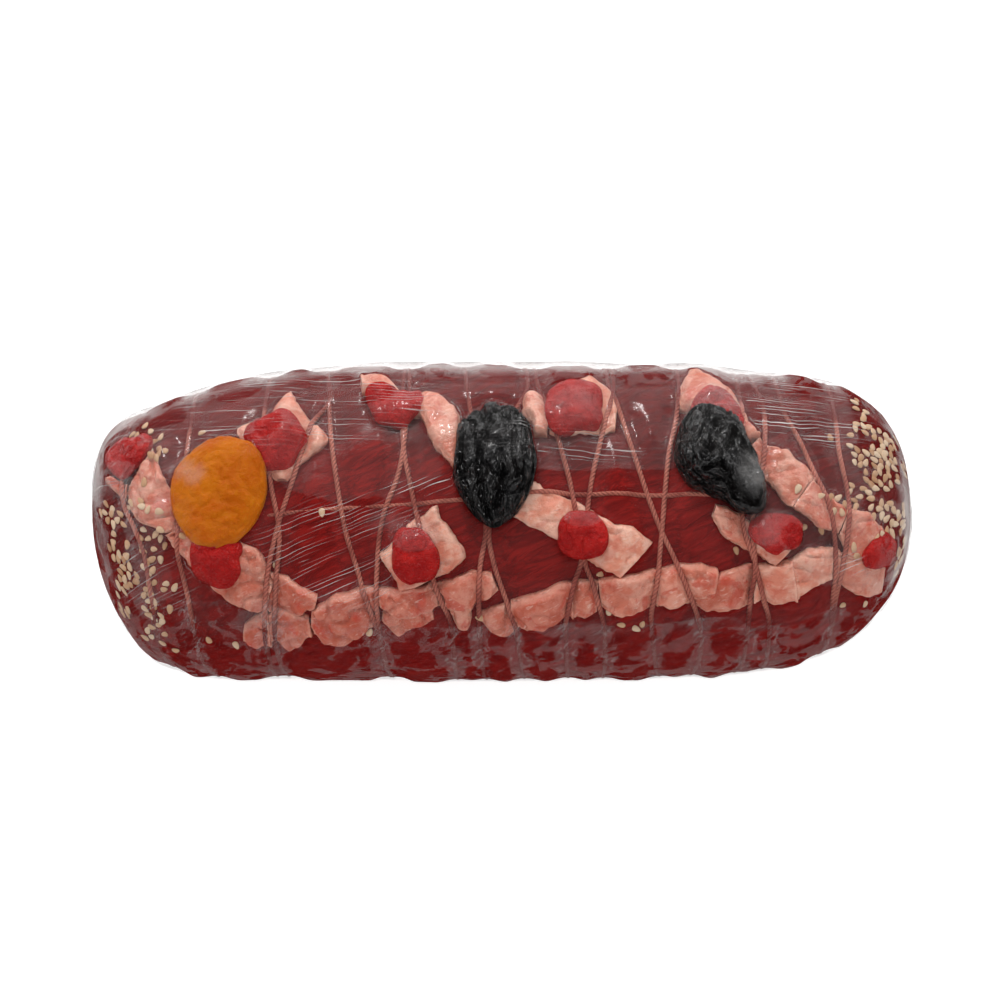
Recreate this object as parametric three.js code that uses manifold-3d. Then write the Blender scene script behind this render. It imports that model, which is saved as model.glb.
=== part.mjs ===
// A stuffed roast: a long tied roll of lean meat, dressed with strips of fat, red
// fruits, prunes, an apricot and sesame seeds.
// Millimetres, +Z up. X runs along the roast, and -Y is its near side.
// A place on the roast is given as x along it and an angle round it, in degrees:
// 0 is the top ridge, 90 the near side, -90 the far side and 180 the underside.
import * as THREE from 'three';
import { mergeVertices } from 'three/addons/utils/BufferGeometryUtils.js';
import Module from 'manifold-3d';

const wasm = await Module();
wasm.setup();

// Driving sizes of the rolled meat
const LENGTH = 285;
const HALF_LENGTH = LENGTH / 2;
const HALF_WIDTH = 55.4;
const HALF_HEIGHT = 43.5;
const AXIS_HEIGHT = 41;
const END_ROUNDING = 85;
const END_FULLNESS = 2.3;
const LEFT_BEND = { at: -112, spread: 32, by: -3.6 };
const RIGHT_BEND = { from: 75, over: 65, by: 6.5 };
const LEFT_TIP = { from: 118, over: 24, by: 11 };
const END_DROP = 10;
const TAPER = 0.1;
const TOP_SQUARENESS = 2.2;
const UNDERSIDE_SQUARENESS = 2.7;

// Grid of the meat's faces
const RING_STEP = 6;
const RINGS_EACH_SIDE = 21;
const END_RINGS = [12, 8, 4.5, 2, 0.6];
const HALF_SIDE_ANGLES = [12, 24, 36, 48, 61, 76, 95, 122, 151];

// Twine and the channel that it pulls into the meat
const TWINE_SIZE = 1.35;
const CORD_SIDES = 3;
const LAST_ANGLE = 179.99;
const TWINE_SEAT = 0.6;
const CHANNEL_DEPTH = 2.6;
const CHANNEL_DEPTH_BELOW = 4.5;
const CHANNEL_HALF_WIDTH = 8;
const TWINE_BITE = 1.1;

// Clearance between touching pieces, and the height of the toppings
const GAP = 0.32;
const FAT_THICKNESS = 4.2;
const FAT_FEET = [0.45, 0.65, 0.85, 1.05, 1.25, 1.5, 1.8, 2.1];

// Tolerances of the solids, and the height from which rays look down on the meat
const WELD = 1e-5;
const SIMPLER_BY = 0.06;
const NO_VOLUME = 1e-6;
const RAY_START = 40;
const RAY_DEPTH = 2;

const degrees = (value) => value * Math.PI / 180;
const clamp = (value, low, high) => Math.min(Math.max(value, low), high);

// Repeatable random numbers
function seededRandom(seed) {
  let state = seed;
  return () => {
    state = (state * 1664525 + 1013904223) % 4294967296;
    return state / 4294967296;
  };
}

// Twine: one long string wound round the roast, turn after turn, as [angle, x]
// from the far side over the top to the near side.
const TURNS = [
  [[-60, -127], [-2, -125], [10, -121], [25, -117], [60, -114]],
  [[-60, -104], [10, -105], [24, -105], [44, -102], [70, -100]],
  [[-54, -57], [-35, -62], [-12, -67], [16, -73], [38, -76], [64, -77]],
  [[-50, -79], [-7, -75], [16, -72], [38, -73], [64, -74]],
  [[-55, -58], [-29, -56], [-2, -53], [19, -50], [39, -45], [54, -41], [80, -38]],
  [[-60, -31], [-23, -32], [-8, -34], [8, -38], [27, -40], [54, -40]],
  [[-60, -33], [-23, -32], [-8, -30], [11, -27], [35, -22], [58, -16]],
  [[-63, -12], [-39, -10], [-10, -7], [16, -5], [33, -7], [60, -7]],
  [[-57, 9], [-38, 4], [-10, -1], [17, -4], [32, -2], [58, 5]],
  [[-60, 12], [-24, 19], [-8, 22], [8, 24], [28, 26], [39, 23], [56, 21]],
  [[-60, 38], [-28, 33], [-11, 30], [6, 28], [29, 27], [39, 30], [61, 34]],
  [[-60, 36], [-37, 40], [-22, 43], [2, 48], [17, 52], [45, 62], [66, 66]],
  [[-60, 60], [-38, 58], [-21, 55], [2, 53], [17, 52], [30, 51], [55, 49]],
  [[-52, 87], [-19, 86], [15, 81], [30, 82], [44, 81], [55, 81]],
  [[-52, 80], [12, 78], [30, 82], [44, 85], [58, 88]],
  [[-47, 94], [-27, 99], [-10, 103], [7, 107], [28, 109], [55, 109]],
  [[-43, 112], [-24, 112], [2, 114], [22, 113], [53, 110]],
];

// Where the string passes under the roast, before the first turn and after each one
const UNDER = [-112, -112, -90, -76, -70, -40, -32, -15, 0, 12, 28, 36, 61, 66, 80, 92, 110, 110];

// The strand along the ridge, as [x, angle]
const RIDGE_STRAND = [[-76, 8], [-53, 6], [-26, 4], [17, 0], [45, 0], [63, 0], [86, 1]];

// Strips and pieces of fat: the middle line as [x, angle, half width]
const FAT = {
  fat_under_fruit_1: [[-69, -46, 2.5], [-70, -38, 5], [-72, -29, 13], [-69, -18, 9.5], [-71, -8, 2]],
  fat_far_hook: [
    [-44, -48, 5], [-33, -44, 6.5], [-21, -38, 6], [-17, -30, 6], [-16, -20, 6.5], [-14, -11, 4.5],
  ],
  fat_under_fruit_3: [[16, -37, 9], [25, -37.5, 9.5], [33, -38, 9.5], [40, -40, 9]],
  fat_beside_fruit_3: [[10.5, -44, 3.5], [10.5, -34, 4.5], [10.5, -24, 4]],
  fat_under_fruit_4: [[-21, 8, 3], [-24, 14, 6], [-25, 24, 13], [-26, 32, 11], [-29, 38, 4.5]],
  fat_under_fruit_5: [[9, 3, 8], [16, 9, 8.5], [24, 15, 9], [31, 19, 9], [38, 22, 9], [45, 28, 8]],
  fat_below_prune_2: [[68, 9, 6.5], [75, 15, 6.5], [83, 20, 6], [88, 24, 4]],
  fat_left_end: [[-115, -28, 3], [-116, -18, 6], [-115, -6, 8.5], [-111, 4, 6], [-109, 9, 3]],
  fat_left_tip: [[-131, -14, 3], [-126, -9, 4.5]],
  fat_left_band: [[-107, 14, 5.5], [-101, 21, 7.5], [-93, 28, 7.5], [-85, 35, 7], [-80, 40, 5.5]],
  fat_left_fold: [[-76, 44, 3.5], [-71, 44, 4.5], [-66, 43, 3.5]],
  fat_row_1: [[-89, 57, 3.5], [-84, 57, 4.5], [-79, 58, 4]],
  fat_row_2: [[-77, 56, 4], [-71, 56, 6.5], [-65, 55, 5]],
  fat_row_3: [[-63, 51, 7], [-52, 50, 8], [-43, 49, 7.5]],
  fat_row_4: [[-41.5, 44.5, 6], [-31, 44, 6.5], [-21, 43, 6]],
  fat_row_4_lower: [[-38, 54, 3], [-30, 54.5, 3.5], [-24, 53.5, 3]],
  fat_row_5: [[-19, 42, 6], [-10, 38.5, 7], [-2, 36, 6]],
  fat_row_5_nub: [[-14, 50.5, 2.6], [-11, 55, 3.4]],
  fat_row_6: [[-7, 52.5, 4], [-1, 52.5, 5], [3, 51, 3.5]],
  fat_strip_1: [[5, 49, 5.5], [13, 46, 7.5], [21.5, 44, 7.5]],
  fat_strip_2: [[23.5, 43.5, 7], [31, 43, 7]],
  fat_strip_3: [[33, 42, 7.5], [41, 41, 8], [48.5, 40, 7.5]],
  fat_strip_4: [[50.5, 38.5, 7.5], [60, 37.5, 7.5], [68, 36.5, 6]],
  fat_strip_5: [[70, 40, 7], [76, 39.5, 8], [82, 38.5, 7.5]],
  fat_strip_6: [[84, 38.5, 7.5], [90, 38.5, 7.5], [95.5, 37.5, 6.5]],
  fat_strip_7: [[97.5, 34, 7], [102, 33.5, 7.5], [107.5, 34, 7]],
  fat_strip_8: [[109.5, 36, 7.5], [117, 38, 8], [126, 42, 6]],
  fat_band_1: [[63, -47, 4], [68, -45, 5.5], [74, -41, 6.5], [81, -34, 6]],
  fat_band_2: [[83, -29, 6], [88, -19, 7.5], [94, -10, 8]],
  fat_band_3: [[97, -6, 8], [103, 1, 8.5], [109, 8, 7.5]],
  fat_band_4: [[111.5, 11, 6.5], [120, 19, 6.5], [128, 28, 6]],
};

// Whole fruits: place, half sizes along x, round the roast and outwards, turn in
// degrees, heights of the underside and of the widest part above the meat, and relief
const RED = { half: [8.2, 8.1, 5.8], turn: 0, foot: 5.1, rise: 6.2, relief: 0.05, detail: [10, 7] };
const PRUNE = { turn: 0, foot: 1.5, detail: [14, 9] };
const FRUITS = {
  prune_1: { ...PRUNE, x: -1.7, angle: -12, half: [13.6, 18.8, 8.2], rise: 6.8, relief: 0.09, tip: 0.28 },
  prune_2: {
    ...PRUNE, x: 71, angle: -12.5, half: [12.6, 17.8, 8.4], turn: 24, rise: 7.2, relief: 0.12, tip: 0.2,
  },
  apricot: {
    ...PRUNE, x: -91.5, angle: -3.5, half: [16.2, 17, 5.2], rise: 4.8, relief: 0.04, detail: [14, 7],
  },
  red_fruit_1: { ...RED, x: -73.5, angle: -23.5, half: [9.4, 9.2, 5.4] },
  red_fruit_2: { ...RED, x: -35, angle: -38, half: [9.2, 7.4, 5.2] },
  red_fruit_3: { ...RED, x: 23.5, angle: -36.5, half: [9.6, 8.8, 5.4] },
  red_fruit_4: { ...RED, x: -27.3, angle: 25 },
  red_fruit_5: { ...RED, x: 26, angle: 17.5 },
  red_fruit_6: { ...RED, x: 88.5, angle: 17, half: [8.6, 6.2, 5] },
  red_fruit_7: { ...RED, x: 124, angle: 31, half: [6.6, 5.4, 4.6] },
  red_fruit_8: { ...RED, x: -91.5, angle: 24, half: [8.6, 8.2, 5.4] },
  red_fruit_9: { ...RED, x: -124.5, angle: -28, half: [8.4, 8, 5.2], foot: 1.5, rise: 4.2 },
  red_fruit_10: { ...RED, x: 71, angle: -34.5, half: [9.2, 8.4, 5.2] },
};
const RELIEF_WAVES = [3, 5];

// Sesame seeds: patches as [x, angle, reach along x, reach in angle, count]
const SEED = { long: 1.65, wide: 1.15, thick: 0.75, sides: 6, sink: 0.15, clear: 0.6 };
const SEED_PATCHES = [
  [-120, -38, 8, 16, 7],
  [-128, 22, 7, 28, 12],
  [-112, 48, 8, 16, 10],
  [124, -26, 9, 16, 12],
  [119, 2, 8, 9, 8],
  [128, 8, 6, 14, 7],
];
const SEED_DRAW = 41;

const COLOURS = {
  meat: { color: 0x6e1414, roughness: 0.35, metalness: 0 },
  fat: { color: 0xd98c7c, roughness: 0.45, metalness: 0 },
  fruit: { color: 0xb5121a, roughness: 0.3, metalness: 0 },
  prune: { color: 0x17110f, roughness: 0.25, metalness: 0 },
  apricot: { color: 0xd0700f, roughness: 0.45, metalness: 0 },
  twine: { color: 0xb67468, roughness: 0.8, metalness: 0 },
};

// Smooth value through [key, value] points, past the ends by the end values
function smoothThrough(points, key) {
  const last = points.length - 1;
  if (key <= points[0][0]) return points[0][1];
  if (key >= points[last][0]) return points[last][1];
  let i = 0;
  while (key > points[i + 1][0]) i += 1;
  const slope = (k) => {
    const a = points[Math.max(k - 1, 0)];
    const b = points[Math.min(k + 1, last)];
    return (b[1] - a[1]) / (b[0] - a[0]);
  };
  const span = points[i + 1][0] - points[i][0];
  const t = (key - points[i][0]) / span;
  const start = points[i][1];
  const end = points[i + 1][1];
  const h00 = (1 + 2 * t) * (1 - t) ** 2;
  const h10 = t * (1 - t) ** 2;
  const h01 = t * t * (3 - 2 * t);
  const h11 = t * t * (t - 1);
  return h00 * start + h10 * span * slope(i) + h01 * end + h11 * span * slope(i + 1);
}

const TURN_ROUTES = TURNS.map((turn, k) => [[-180, UNDER[k]], ...turn, [180, UNDER[k + 1]]]);

// Share of the full section that is left at x
function fullness(x) {
  const depth = clamp((HALF_LENGTH - Math.abs(x)) / END_ROUNDING, 0, 1);
  return (1 - (1 - depth) ** 4) ** (1 / END_FULLNESS) * (1 - TAPER * (x / HALF_LENGTH) ** 2);
}

// The middle of the section bends a little along the roast
function middleY(x) {
  const leftBend = LEFT_BEND.by * Math.exp(-(((x - LEFT_BEND.at) / LEFT_BEND.spread) ** 2));
  const rightBend = RIGHT_BEND.by * clamp((x - RIGHT_BEND.from) / RIGHT_BEND.over, 0, 1) ** 2;
  const leftTip = LEFT_TIP.by * clamp((-x - LEFT_TIP.from) / LEFT_TIP.over, 0, 1) ** 1.5;
  return leftBend + rightBend + leftTip;
}

const middleZ = (x) => AXIS_HEIGHT - (1 - fullness(x)) * END_DROP;

// Depth of the channels that the twine pulls in
function channel(x, angle) {
  let left = 1;
  const below = clamp((Math.abs(angle) - 100) / 50, 0, 1);
  const depth = CHANNEL_DEPTH + (CHANNEL_DEPTH_BELOW - CHANNEL_DEPTH) * below;
  for (const route of TURN_ROUTES) {
    const away = Math.abs(x - smoothThrough(route, angle)) / CHANNEL_HALF_WIDTH;
    if (away < 1) left *= 1 - (1 - away * away) ** 2;
  }
  return depth * (1 - left) * clamp((HALF_LENGTH - Math.abs(x)) / 20, 0, 1);
}

// Distance from the middle line to the meat's surface, without the channels
function fullRadius(x, angle) {
  const s = Math.abs(Math.sin(degrees(angle)));
  const c = Math.cos(degrees(angle));
  const n = c > 0 ? TOP_SQUARENESS : UNDERSIDE_SQUARENESS;
  const round = ((s / HALF_WIDTH) ** n + (Math.abs(c) / HALF_HEIGHT) ** n) ** (-1 / n) * fullness(x);
  const toFloor = c < -0.05 ? middleZ(x) / -c : Infinity;
  return Math.min(round, toFloor);
}

const radius = (x, angle) => fullRadius(x, angle) - channel(x, angle);

function pointAt(x, angle, r) {
  const turn = degrees(angle);
  return new THREE.Vector3(x, middleY(x) - r * Math.sin(turn), middleZ(x) + r * Math.cos(turn));
}

// A point at a height above the meat's surface
const drape = (x, angle, height) => pointAt(x, angle, radius(x, angle) + height);

const outward = (angle) => new THREE.Vector3(0, -Math.sin(degrees(angle)), Math.cos(degrees(angle)));

// The direction square to the meat's surface, without the channels
function squareTo(x, angle) {
  const step = 2;
  const low = Math.max(x - step, 0.5 - HALF_LENGTH);
  const high = Math.min(x + step, HALF_LENGTH - 0.5);
  const along = pointAt(high, angle, fullRadius(high, angle)).sub(pointAt(low, angle, fullRadius(low, angle)));
  const round = pointAt(x, angle + step, fullRadius(x, angle + step));
  round.sub(pointAt(x, angle - step, fullRadius(x, angle - step)));
  return round.cross(along).normalize();
}

// Rings of the meat's grid, from the left end to the right end
const RING_X = [
  ...END_RINGS.slice().reverse().map((depth) => depth - HALF_LENGTH),
  ...Array.from({ length: 2 * RINGS_EACH_SIDE + 1 }, (_, i) => (i - RINGS_EACH_SIDE) * RING_STEP),
  ...END_RINGS.map((depth) => HALF_LENGTH - depth),
];
const SIDE_ANGLES = [-180, ...HALF_SIDE_ANGLES.map((angle) => -angle).reverse(), 0, ...HALF_SIDE_ANGLES];
const SIDES = SIDE_ANGLES.length;

function geometryOf(points, faces) {
  const geometry = new THREE.BufferGeometry();
  const flat = points.flatMap((p) => [p.x, p.y, p.z]);
  geometry.setAttribute('position', new THREE.Float32BufferAttribute(flat, 3));
  geometry.setIndex(faces.flat());
  return geometry;
}

// The rolled meat, grown outwards by a margin when it serves as a cutter
function meatGeometry(margin) {
  const points = [];
  const faces = [];
  for (const x of RING_X) {
    for (const angle of SIDE_ANGLES) {
      const point = drape(x, angle, margin);
      points.push(point);
    }
  }
  const ring = (i, j) => i * SIDES + (j % SIDES);
  for (let i = 0; i + 1 < RING_X.length; i += 1) {
    for (let j = 0; j < SIDES; j += 1) {
      faces.push([ring(i, j), ring(i + 1, j), ring(i + 1, j + 1)]);
      faces.push([ring(i, j), ring(i + 1, j + 1), ring(i, j + 1)]);
    }
  }
  const lastRing = RING_X.length - 1;
  for (const [side, i] of [[-1, 0], [1, lastRing]]) {
    const tip = points.length;
    const x = side * (HALF_LENGTH + margin);
    points.push(new THREE.Vector3(x, middleY(x), middleZ(x)));
    for (let j = 0; j < SIDES; j += 1) {
      const edge = side > 0 ? [ring(i, j), tip, ring(i, j + 1)] : [ring(i, j), ring(i, j + 1), tip];
      faces.push(edge);
    }
  }
  return geometryOf(points, faces);
}

// Closed solids for cutting and joining
function solid(geometry) {
  const bare = geometry.clone();
  bare.deleteAttribute('normal');
  bare.deleteAttribute('uv');
  const merged = mergeVertices(bare, WELD);
  const vertProperties = new Float32Array(merged.attributes.position.array);
  const triVerts = new Uint32Array(merged.index.array);
  const made = new wasm.Manifold(new wasm.Mesh({ numProp: 3, vertProperties, triVerts }));
  if (made.volume() > 0) return made;
  const turned = triVerts.map((_, k) => triVerts[k - (k % 3) + 2 - (k % 3)]);
  return new wasm.Manifold(new wasm.Mesh({ numProp: 3, vertProperties, triVerts: turned }));
}

function geometryFrom(made) {
  const mesh = made.getMesh();
  const geometry = new THREE.BufferGeometry();
  const positions = [];
  for (let v = 0; v < mesh.numVert; v += 1) {
    positions.push(...mesh.vertProperties.slice(v * mesh.numProp, v * mesh.numProp + 3));
  }
  geometry.setAttribute('position', new THREE.Float32BufferAttribute(positions, 3));
  geometry.setIndex(Array.from(mesh.triVerts));
  return geometry;
}

const overlaps = (a, b) => a.intersect(b).volume() > NO_VOLUME;

// The biggest body of a cut piece, without its loose scraps
function mainBody(made) {
  const bodies = made.simplify(SIMPLER_BY).decompose();
  return bodies.reduce((best, body) => (body.volume() > best.volume() ? body : best));
}

// Section corners of a cord through points, given the outward direction at each
function cordSections(points, outs, size) {
  return points.map((point, i) => {
    const before = points[Math.max(i - 1, 0)];
    const after = points[Math.min(i + 1, points.length - 1)];
    const along = after.clone().sub(before).normalize();
    const across = along.clone().cross(outs[i]).normalize();
    const up = across.clone().cross(along).normalize();
    return Array.from({ length: CORD_SIDES }, (_, k) => {
      const turn = Math.PI / 2 + k * 2 * Math.PI / CORD_SIDES;
      const corner = point.clone();
      corner.addScaledVector(across, size * Math.cos(turn));
      return corner.addScaledVector(up, size * Math.sin(turn));
    });
  });
}

// A closed cord over a run of sections
function cordSolid(sections) {
  const faces = [];
  const at = (i, k) => i * CORD_SIDES + (k % CORD_SIDES);
  const end = sections.length - 1;
  for (let i = 0; i < end; i += 1) {
    for (let k = 0; k < CORD_SIDES; k += 1) {
      faces.push([at(i, k), at(i, k + 1), at(i + 1, k + 1)]);
      faces.push([at(i, k), at(i + 1, k + 1), at(i + 1, k)]);
    }
  }
  faces.push([at(0, 0), at(0, 2), at(0, 1)], [at(end, 0), at(end, 1), at(end, 2)]);
  return solid(geometryOf(sections.flat(), faces));
}

// Height of the meat's real faces along one of its grid lines
function facePoint(x, angle) {
  const i = clamp(RING_X.findIndex((value) => value > x) - 1, 0, RING_X.length - 2);
  const t = (x - RING_X[i]) / (RING_X[i + 1] - RING_X[i]);
  const lines = [...SIDE_ANGLES, 180];
  const j = clamp(lines.findIndex((value) => value > angle) - 1, 0, lines.length - 2);
  const share = (angle - lines[j]) / (lines[j + 1] - lines[j]);
  const along = (line) => drape(RING_X[i], line, 0).lerp(drape(RING_X[i + 1], line, 0), t);
  return along(lines[j]).lerp(along(lines[j + 1]), share);
}

// How far the twine is lifted by the fat under it
const fatMeshes = [];
const ray = new THREE.Raycaster();
function fatLift(surface, angle) {
  const out = outward(angle);
  ray.set(surface.clone().addScaledVector(out, RAY_START), out.clone().negate());
  ray.far = RAY_START + RAY_DEPTH;
  const hits = ray.intersectObjects(fatMeshes, false);
  return hits.length ? Math.max(RAY_START - hits[0].distance - TWINE_BITE, 0) : 0;
}

function seatedPoint(x, angle, lifted) {
  const surface = facePoint(x, angle);
  const seat = TWINE_SIZE / 2 + TWINE_SEAT;
  const lift = lifted ? Math.max(fatLift(surface, angle), seat) : seat;
  return surface.addScaledVector(squareTo(x, angle), lift);
}

function windingSections(size) {
  const points = [];
  const outs = [];
  TURN_ROUTES.forEach((route, k) => {
    const stops = k === TURN_ROUTES.length - 1 ? [...SIDE_ANGLES, LAST_ANGLE] : SIDE_ANGLES;
    stops.forEach((angle) => {
      const x = smoothThrough(route, angle);
      points.push(seatedPoint(x, angle, true));
      outs.push(squareTo(x, angle));
    });
  });
  return cordSections(points, outs, size);
}

// Turn by turn, so that a crossing becomes one body
function windingSolid(size) {
  const sections = windingSections(size);
  const turns = TURN_ROUTES.map((_, k) => cordSolid(sections.slice(k * SIDES, (k + 1) * SIDES + 1)));
  return turns.reduce((whole, turn) => whole.add(turn));
}

function ridgeStrandSolid(size) {
  const first = RIDGE_STRAND[0][0];
  const last = RIDGE_STRAND[RIDGE_STRAND.length - 1][0];
  const stops = [first, ...RING_X.filter((x) => x > first + 1 && x < last - 1), last];
  const angles = stops.map((x) => smoothThrough(RIDGE_STRAND, x));
  const points = stops.map((x, i) => seatedPoint(x, angles[i], false));
  return cordSolid(cordSections(points, stops.map((x, i) => squareTo(x, angles[i])), size));
}

// A strip of fat laid along its middle line
function fatGeometry(line, margin, foot) {
  const rows = 4;
  const stops = [];
  const pieces = line.length - 1;
  const perPiece = line.length > 2 ? 1 : 2;
  for (let i = 0; i <= pieces * perPiece; i += 1) {
    const at = Math.min(Math.floor(i / perPiece), pieces - 1);
    const t = i / perPiece - at;
    stops.push(line[at].map((value, k) => value + (line[at + 1][k] - value) * t));
  }
  const across = [-1, -0.55, 0.55, 1];
  const crown = [0.55, 1, 1, 0.55];
  const last = stops.length - 1;
  const point = (i, k, height) => {
    const [x, angle, half] = stops[i];
    const before = stops[Math.max(i - 1, 0)];
    const after = stops[Math.min(i + 1, last)];
    const r = radius(x, angle);
    const run = new THREE.Vector2(after[0] - before[0], degrees(after[1] - before[1]) * r).normalize();
    const endShift = (i === 0 ? -margin : 0) + (i === last ? margin : 0);
    const wide = (half + margin) * across[k];
    const px = x - run.y * wide + run.x * endShift;
    const pa = angle + (run.x * wide + run.y * endShift) / r * 180 / Math.PI;
    return drape(px, pa, height);
  };
  const points = [];
  const faces = [];
  const top = (i, k) => i * rows + k;
  for (let i = 0; i <= last; i += 1) {
    const endDrop = i === 0 || i === last ? 0.72 : 1;
    for (let k = 0; k < rows; k += 1) {
      points.push(point(i, k, FAT_THICKNESS * crown[k] * endDrop + margin));
    }
  }
  const lower = points.length;
  for (let i = 0; i <= last; i += 1) {
    for (let k = 0; k < rows; k += 1) points.push(point(i, k, foot));
  }
  const bottom = (i, k) => lower + top(i, k);
  for (let i = 0; i < last; i += 1) {
    for (let k = 0; k + 1 < rows; k += 1) {
      faces.push([top(i, k), top(i + 1, k), top(i + 1, k + 1)], [top(i, k), top(i + 1, k + 1), top(i, k + 1)]);
      faces.push([bottom(i, k), bottom(i + 1, k + 1), bottom(i + 1, k)]);
      faces.push([bottom(i, k), bottom(i, k + 1), bottom(i + 1, k + 1)]);
    }
  }
  const rim = [];
  for (let i = 0; i < last; i += 1) rim.push([i, 0]);
  for (let k = 0; k + 1 < rows; k += 1) rim.push([last, k]);
  for (let i = last; i > 0; i -= 1) rim.push([i, rows - 1]);
  for (let k = rows - 1; k > 0; k -= 1) rim.push([0, k]);
  rim.forEach(([i, k], n) => {
    const [ni, nk] = rim[(n + 1) % rim.length];
    faces.push([top(i, k), bottom(i, k), bottom(ni, nk)], [top(i, k), bottom(ni, nk), top(ni, nk)]);
  });
  return geometryOf(points, faces);
}

// A soft round fruit laid on the meat, with a wavy outline
function fruitGeometry(fruit) {
  const [around, up] = fruit.detail;
  const sphere = new THREE.SphereGeometry(1, around, up);
  sphere.rotateX(Math.PI / 2);
  const position = sphere.attributes.position;
  const turn = degrees(fruit.turn);
  const tip = fruit.tip ?? 0;
  const r = radius(fruit.x, fruit.angle);
  for (let v = 0; v < position.count; v += 1) {
    const unit = new THREE.Vector3().fromBufferAttribute(position, v);
    const bearing = Math.atan2(unit.y, unit.x);
    const broad = Math.sin(RELIEF_WAVES[0] * bearing + fruit.x);
    const wave = broad + 0.6 * Math.sin(RELIEF_WAVES[1] * bearing + fruit.angle);
    const swell = 1 + fruit.relief * wave * Math.hypot(unit.x, unit.y);
    const narrow = 1 - tip * unit.y;
    const p = unit.x * fruit.half[0] * swell * narrow;
    const q = unit.y * fruit.half[1] * swell;
    const dx = p * Math.cos(turn) - q * Math.sin(turn);
    const da = p * Math.sin(turn) + q * Math.cos(turn);
    const height = fruit.rise + unit.z * (unit.z > 0 ? fruit.half[2] : fruit.rise - fruit.foot);
    const placed = drape(fruit.x + dx, fruit.angle + da / r * 180 / Math.PI, height);
    position.setXYZ(v, placed.x, placed.y, placed.z);
  }
  return sphere;
}

// A flat drop-shaped seed on the meat
function seedGeometry(x, angle, heading) {
  const points = [];
  const faces = [];
  const r = radius(x, angle);
  const place = (p, q, height) => drape(
    x + p * Math.cos(heading) - q * Math.sin(heading),
    angle + (p * Math.sin(heading) + q * Math.cos(heading)) / r * 180 / Math.PI,
    height,
  );
  for (let k = 0; k < SEED.sides; k += 1) {
    const bearing = k * 2 * Math.PI / SEED.sides;
    const taper = 1 - 0.25 * Math.cos(bearing);
    points.push(place(SEED.long * Math.cos(bearing), SEED.wide * Math.sin(bearing) * taper, SEED.sink));
  }
  points.push(place(0, 0, SEED.sink + SEED.thick), place(0, 0, SEED.sink - SEED.thick));
  for (let k = 0; k < SEED.sides; k += 1) {
    const next = (k + 1) % SEED.sides;
    faces.push([k, next, SEED.sides], [next, k, SEED.sides + 1]);
  }
  return geometryOf(points, faces);
}

// The short runs of string that would touch the meat's faces, grown by the gap
function tightSpots(meat) {
  const thin = windingSections(TWINE_SIZE);
  const grown = windingSections(TWINE_SIZE + 2 * GAP);
  const runs = thin.slice(1).map((_, i) => i);
  const tight = runs.filter((i) => overlaps(meat, cordSolid(thin.slice(i, i + 2))));
  const spots = tight.map((i) => cordSolid(grown.slice(i, i + 2)));
  return spots.reduce((whole, spot) => whole.add(spot));
}

// The seeds that lie clear of every other piece and of each other
function clearSeeds(obstacles) {
  const random = seededRandom(SEED_DRAW);
  const placed = [];
  const seeds = [];
  const blockers = obstacles.map((geometry) => new THREE.Mesh(geometry, doubleSided));
  blockers.forEach((mesh) => mesh.updateMatrixWorld());
  const spread = SEED.long + SEED.clear;
  for (const [x, angle, reachX, reachAngle, count] of SEED_PATCHES) {
    let made = 0;
    for (let attempt = 0; attempt < count * 30 && made < count; attempt += 1) {
      const sx = x + (random() * 2 - 1) * reachX;
      const sa = angle + (random() * 2 - 1) * reachAngle;
      const heading = random() * Math.PI;
      const centre = drape(sx, sa, 0);
      const crowded = placed.some((other) => other.distanceTo(centre) < 2 * spread);
      const covered = Array.from({ length: 9 }, (_, k) => k).some((k) => {
        const bearing = k * Math.PI / 4;
        const reach = k === 8 ? 0 : spread;
        const out = outward(sa);
        const round = reach * Math.sin(bearing) / HALF_WIDTH * 180 / Math.PI;
        const start = drape(sx + reach * Math.cos(bearing), sa + round, RAY_START);
        ray.set(start, out.clone().negate());
        ray.far = RAY_START + RAY_DEPTH / 2;
        return ray.intersectObjects(blockers, false).length > 0;
      });
      if (!crowded && !covered) {
        placed.push(centre);
        seeds.push(solid(seedGeometry(sx, sa, heading)));
        made += 1;
      }
    }
  }
  return seeds;
}

// A strip's underside is as low as the meat's faces let it be
function fatSolid(line) {
  const made = FAT_FEET.map((foot) => () => solid(fatGeometry(line, 0, foot)));
  const fitting = made.find((make) => !overlaps(make(), meatCutter));
  return fitting ? fitting() : made[0]().subtract(meatCutter);
}

const doubleSided = new THREE.MeshBasicMaterial({ side: THREE.DoubleSide });
for (const line of Object.values(FAT)) {
  fatMeshes.push(new THREE.Mesh(fatGeometry(line, 0, 0), doubleSided));
}

const meatCutter = solid(meatGeometry(GAP));
const twine = mainBody(windingSolid(TWINE_SIZE).add(ridgeStrandSolid(TWINE_SIZE)));
const twineCutter = windingSolid(TWINE_SIZE + 2 * GAP).add(ridgeStrandSolid(TWINE_SIZE + 2 * GAP));

// Each strip of fat makes way for the ones laid before it
const pieces = {};
const fatCutters = [];
for (const [name, line] of Object.entries(FAT)) {
  let piece = fatSolid(line).subtract(twineCutter);
  for (const cutter of fatCutters) {
    if (overlaps(piece, cutter)) piece = piece.subtract(cutter);
  }
  pieces[name] = mainBody(piece);
  fatCutters.push(solid(fatGeometry(line, GAP, 0)));
}
const fatCutter = fatCutters.reduce((whole, cutter) => whole.add(cutter));

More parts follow.
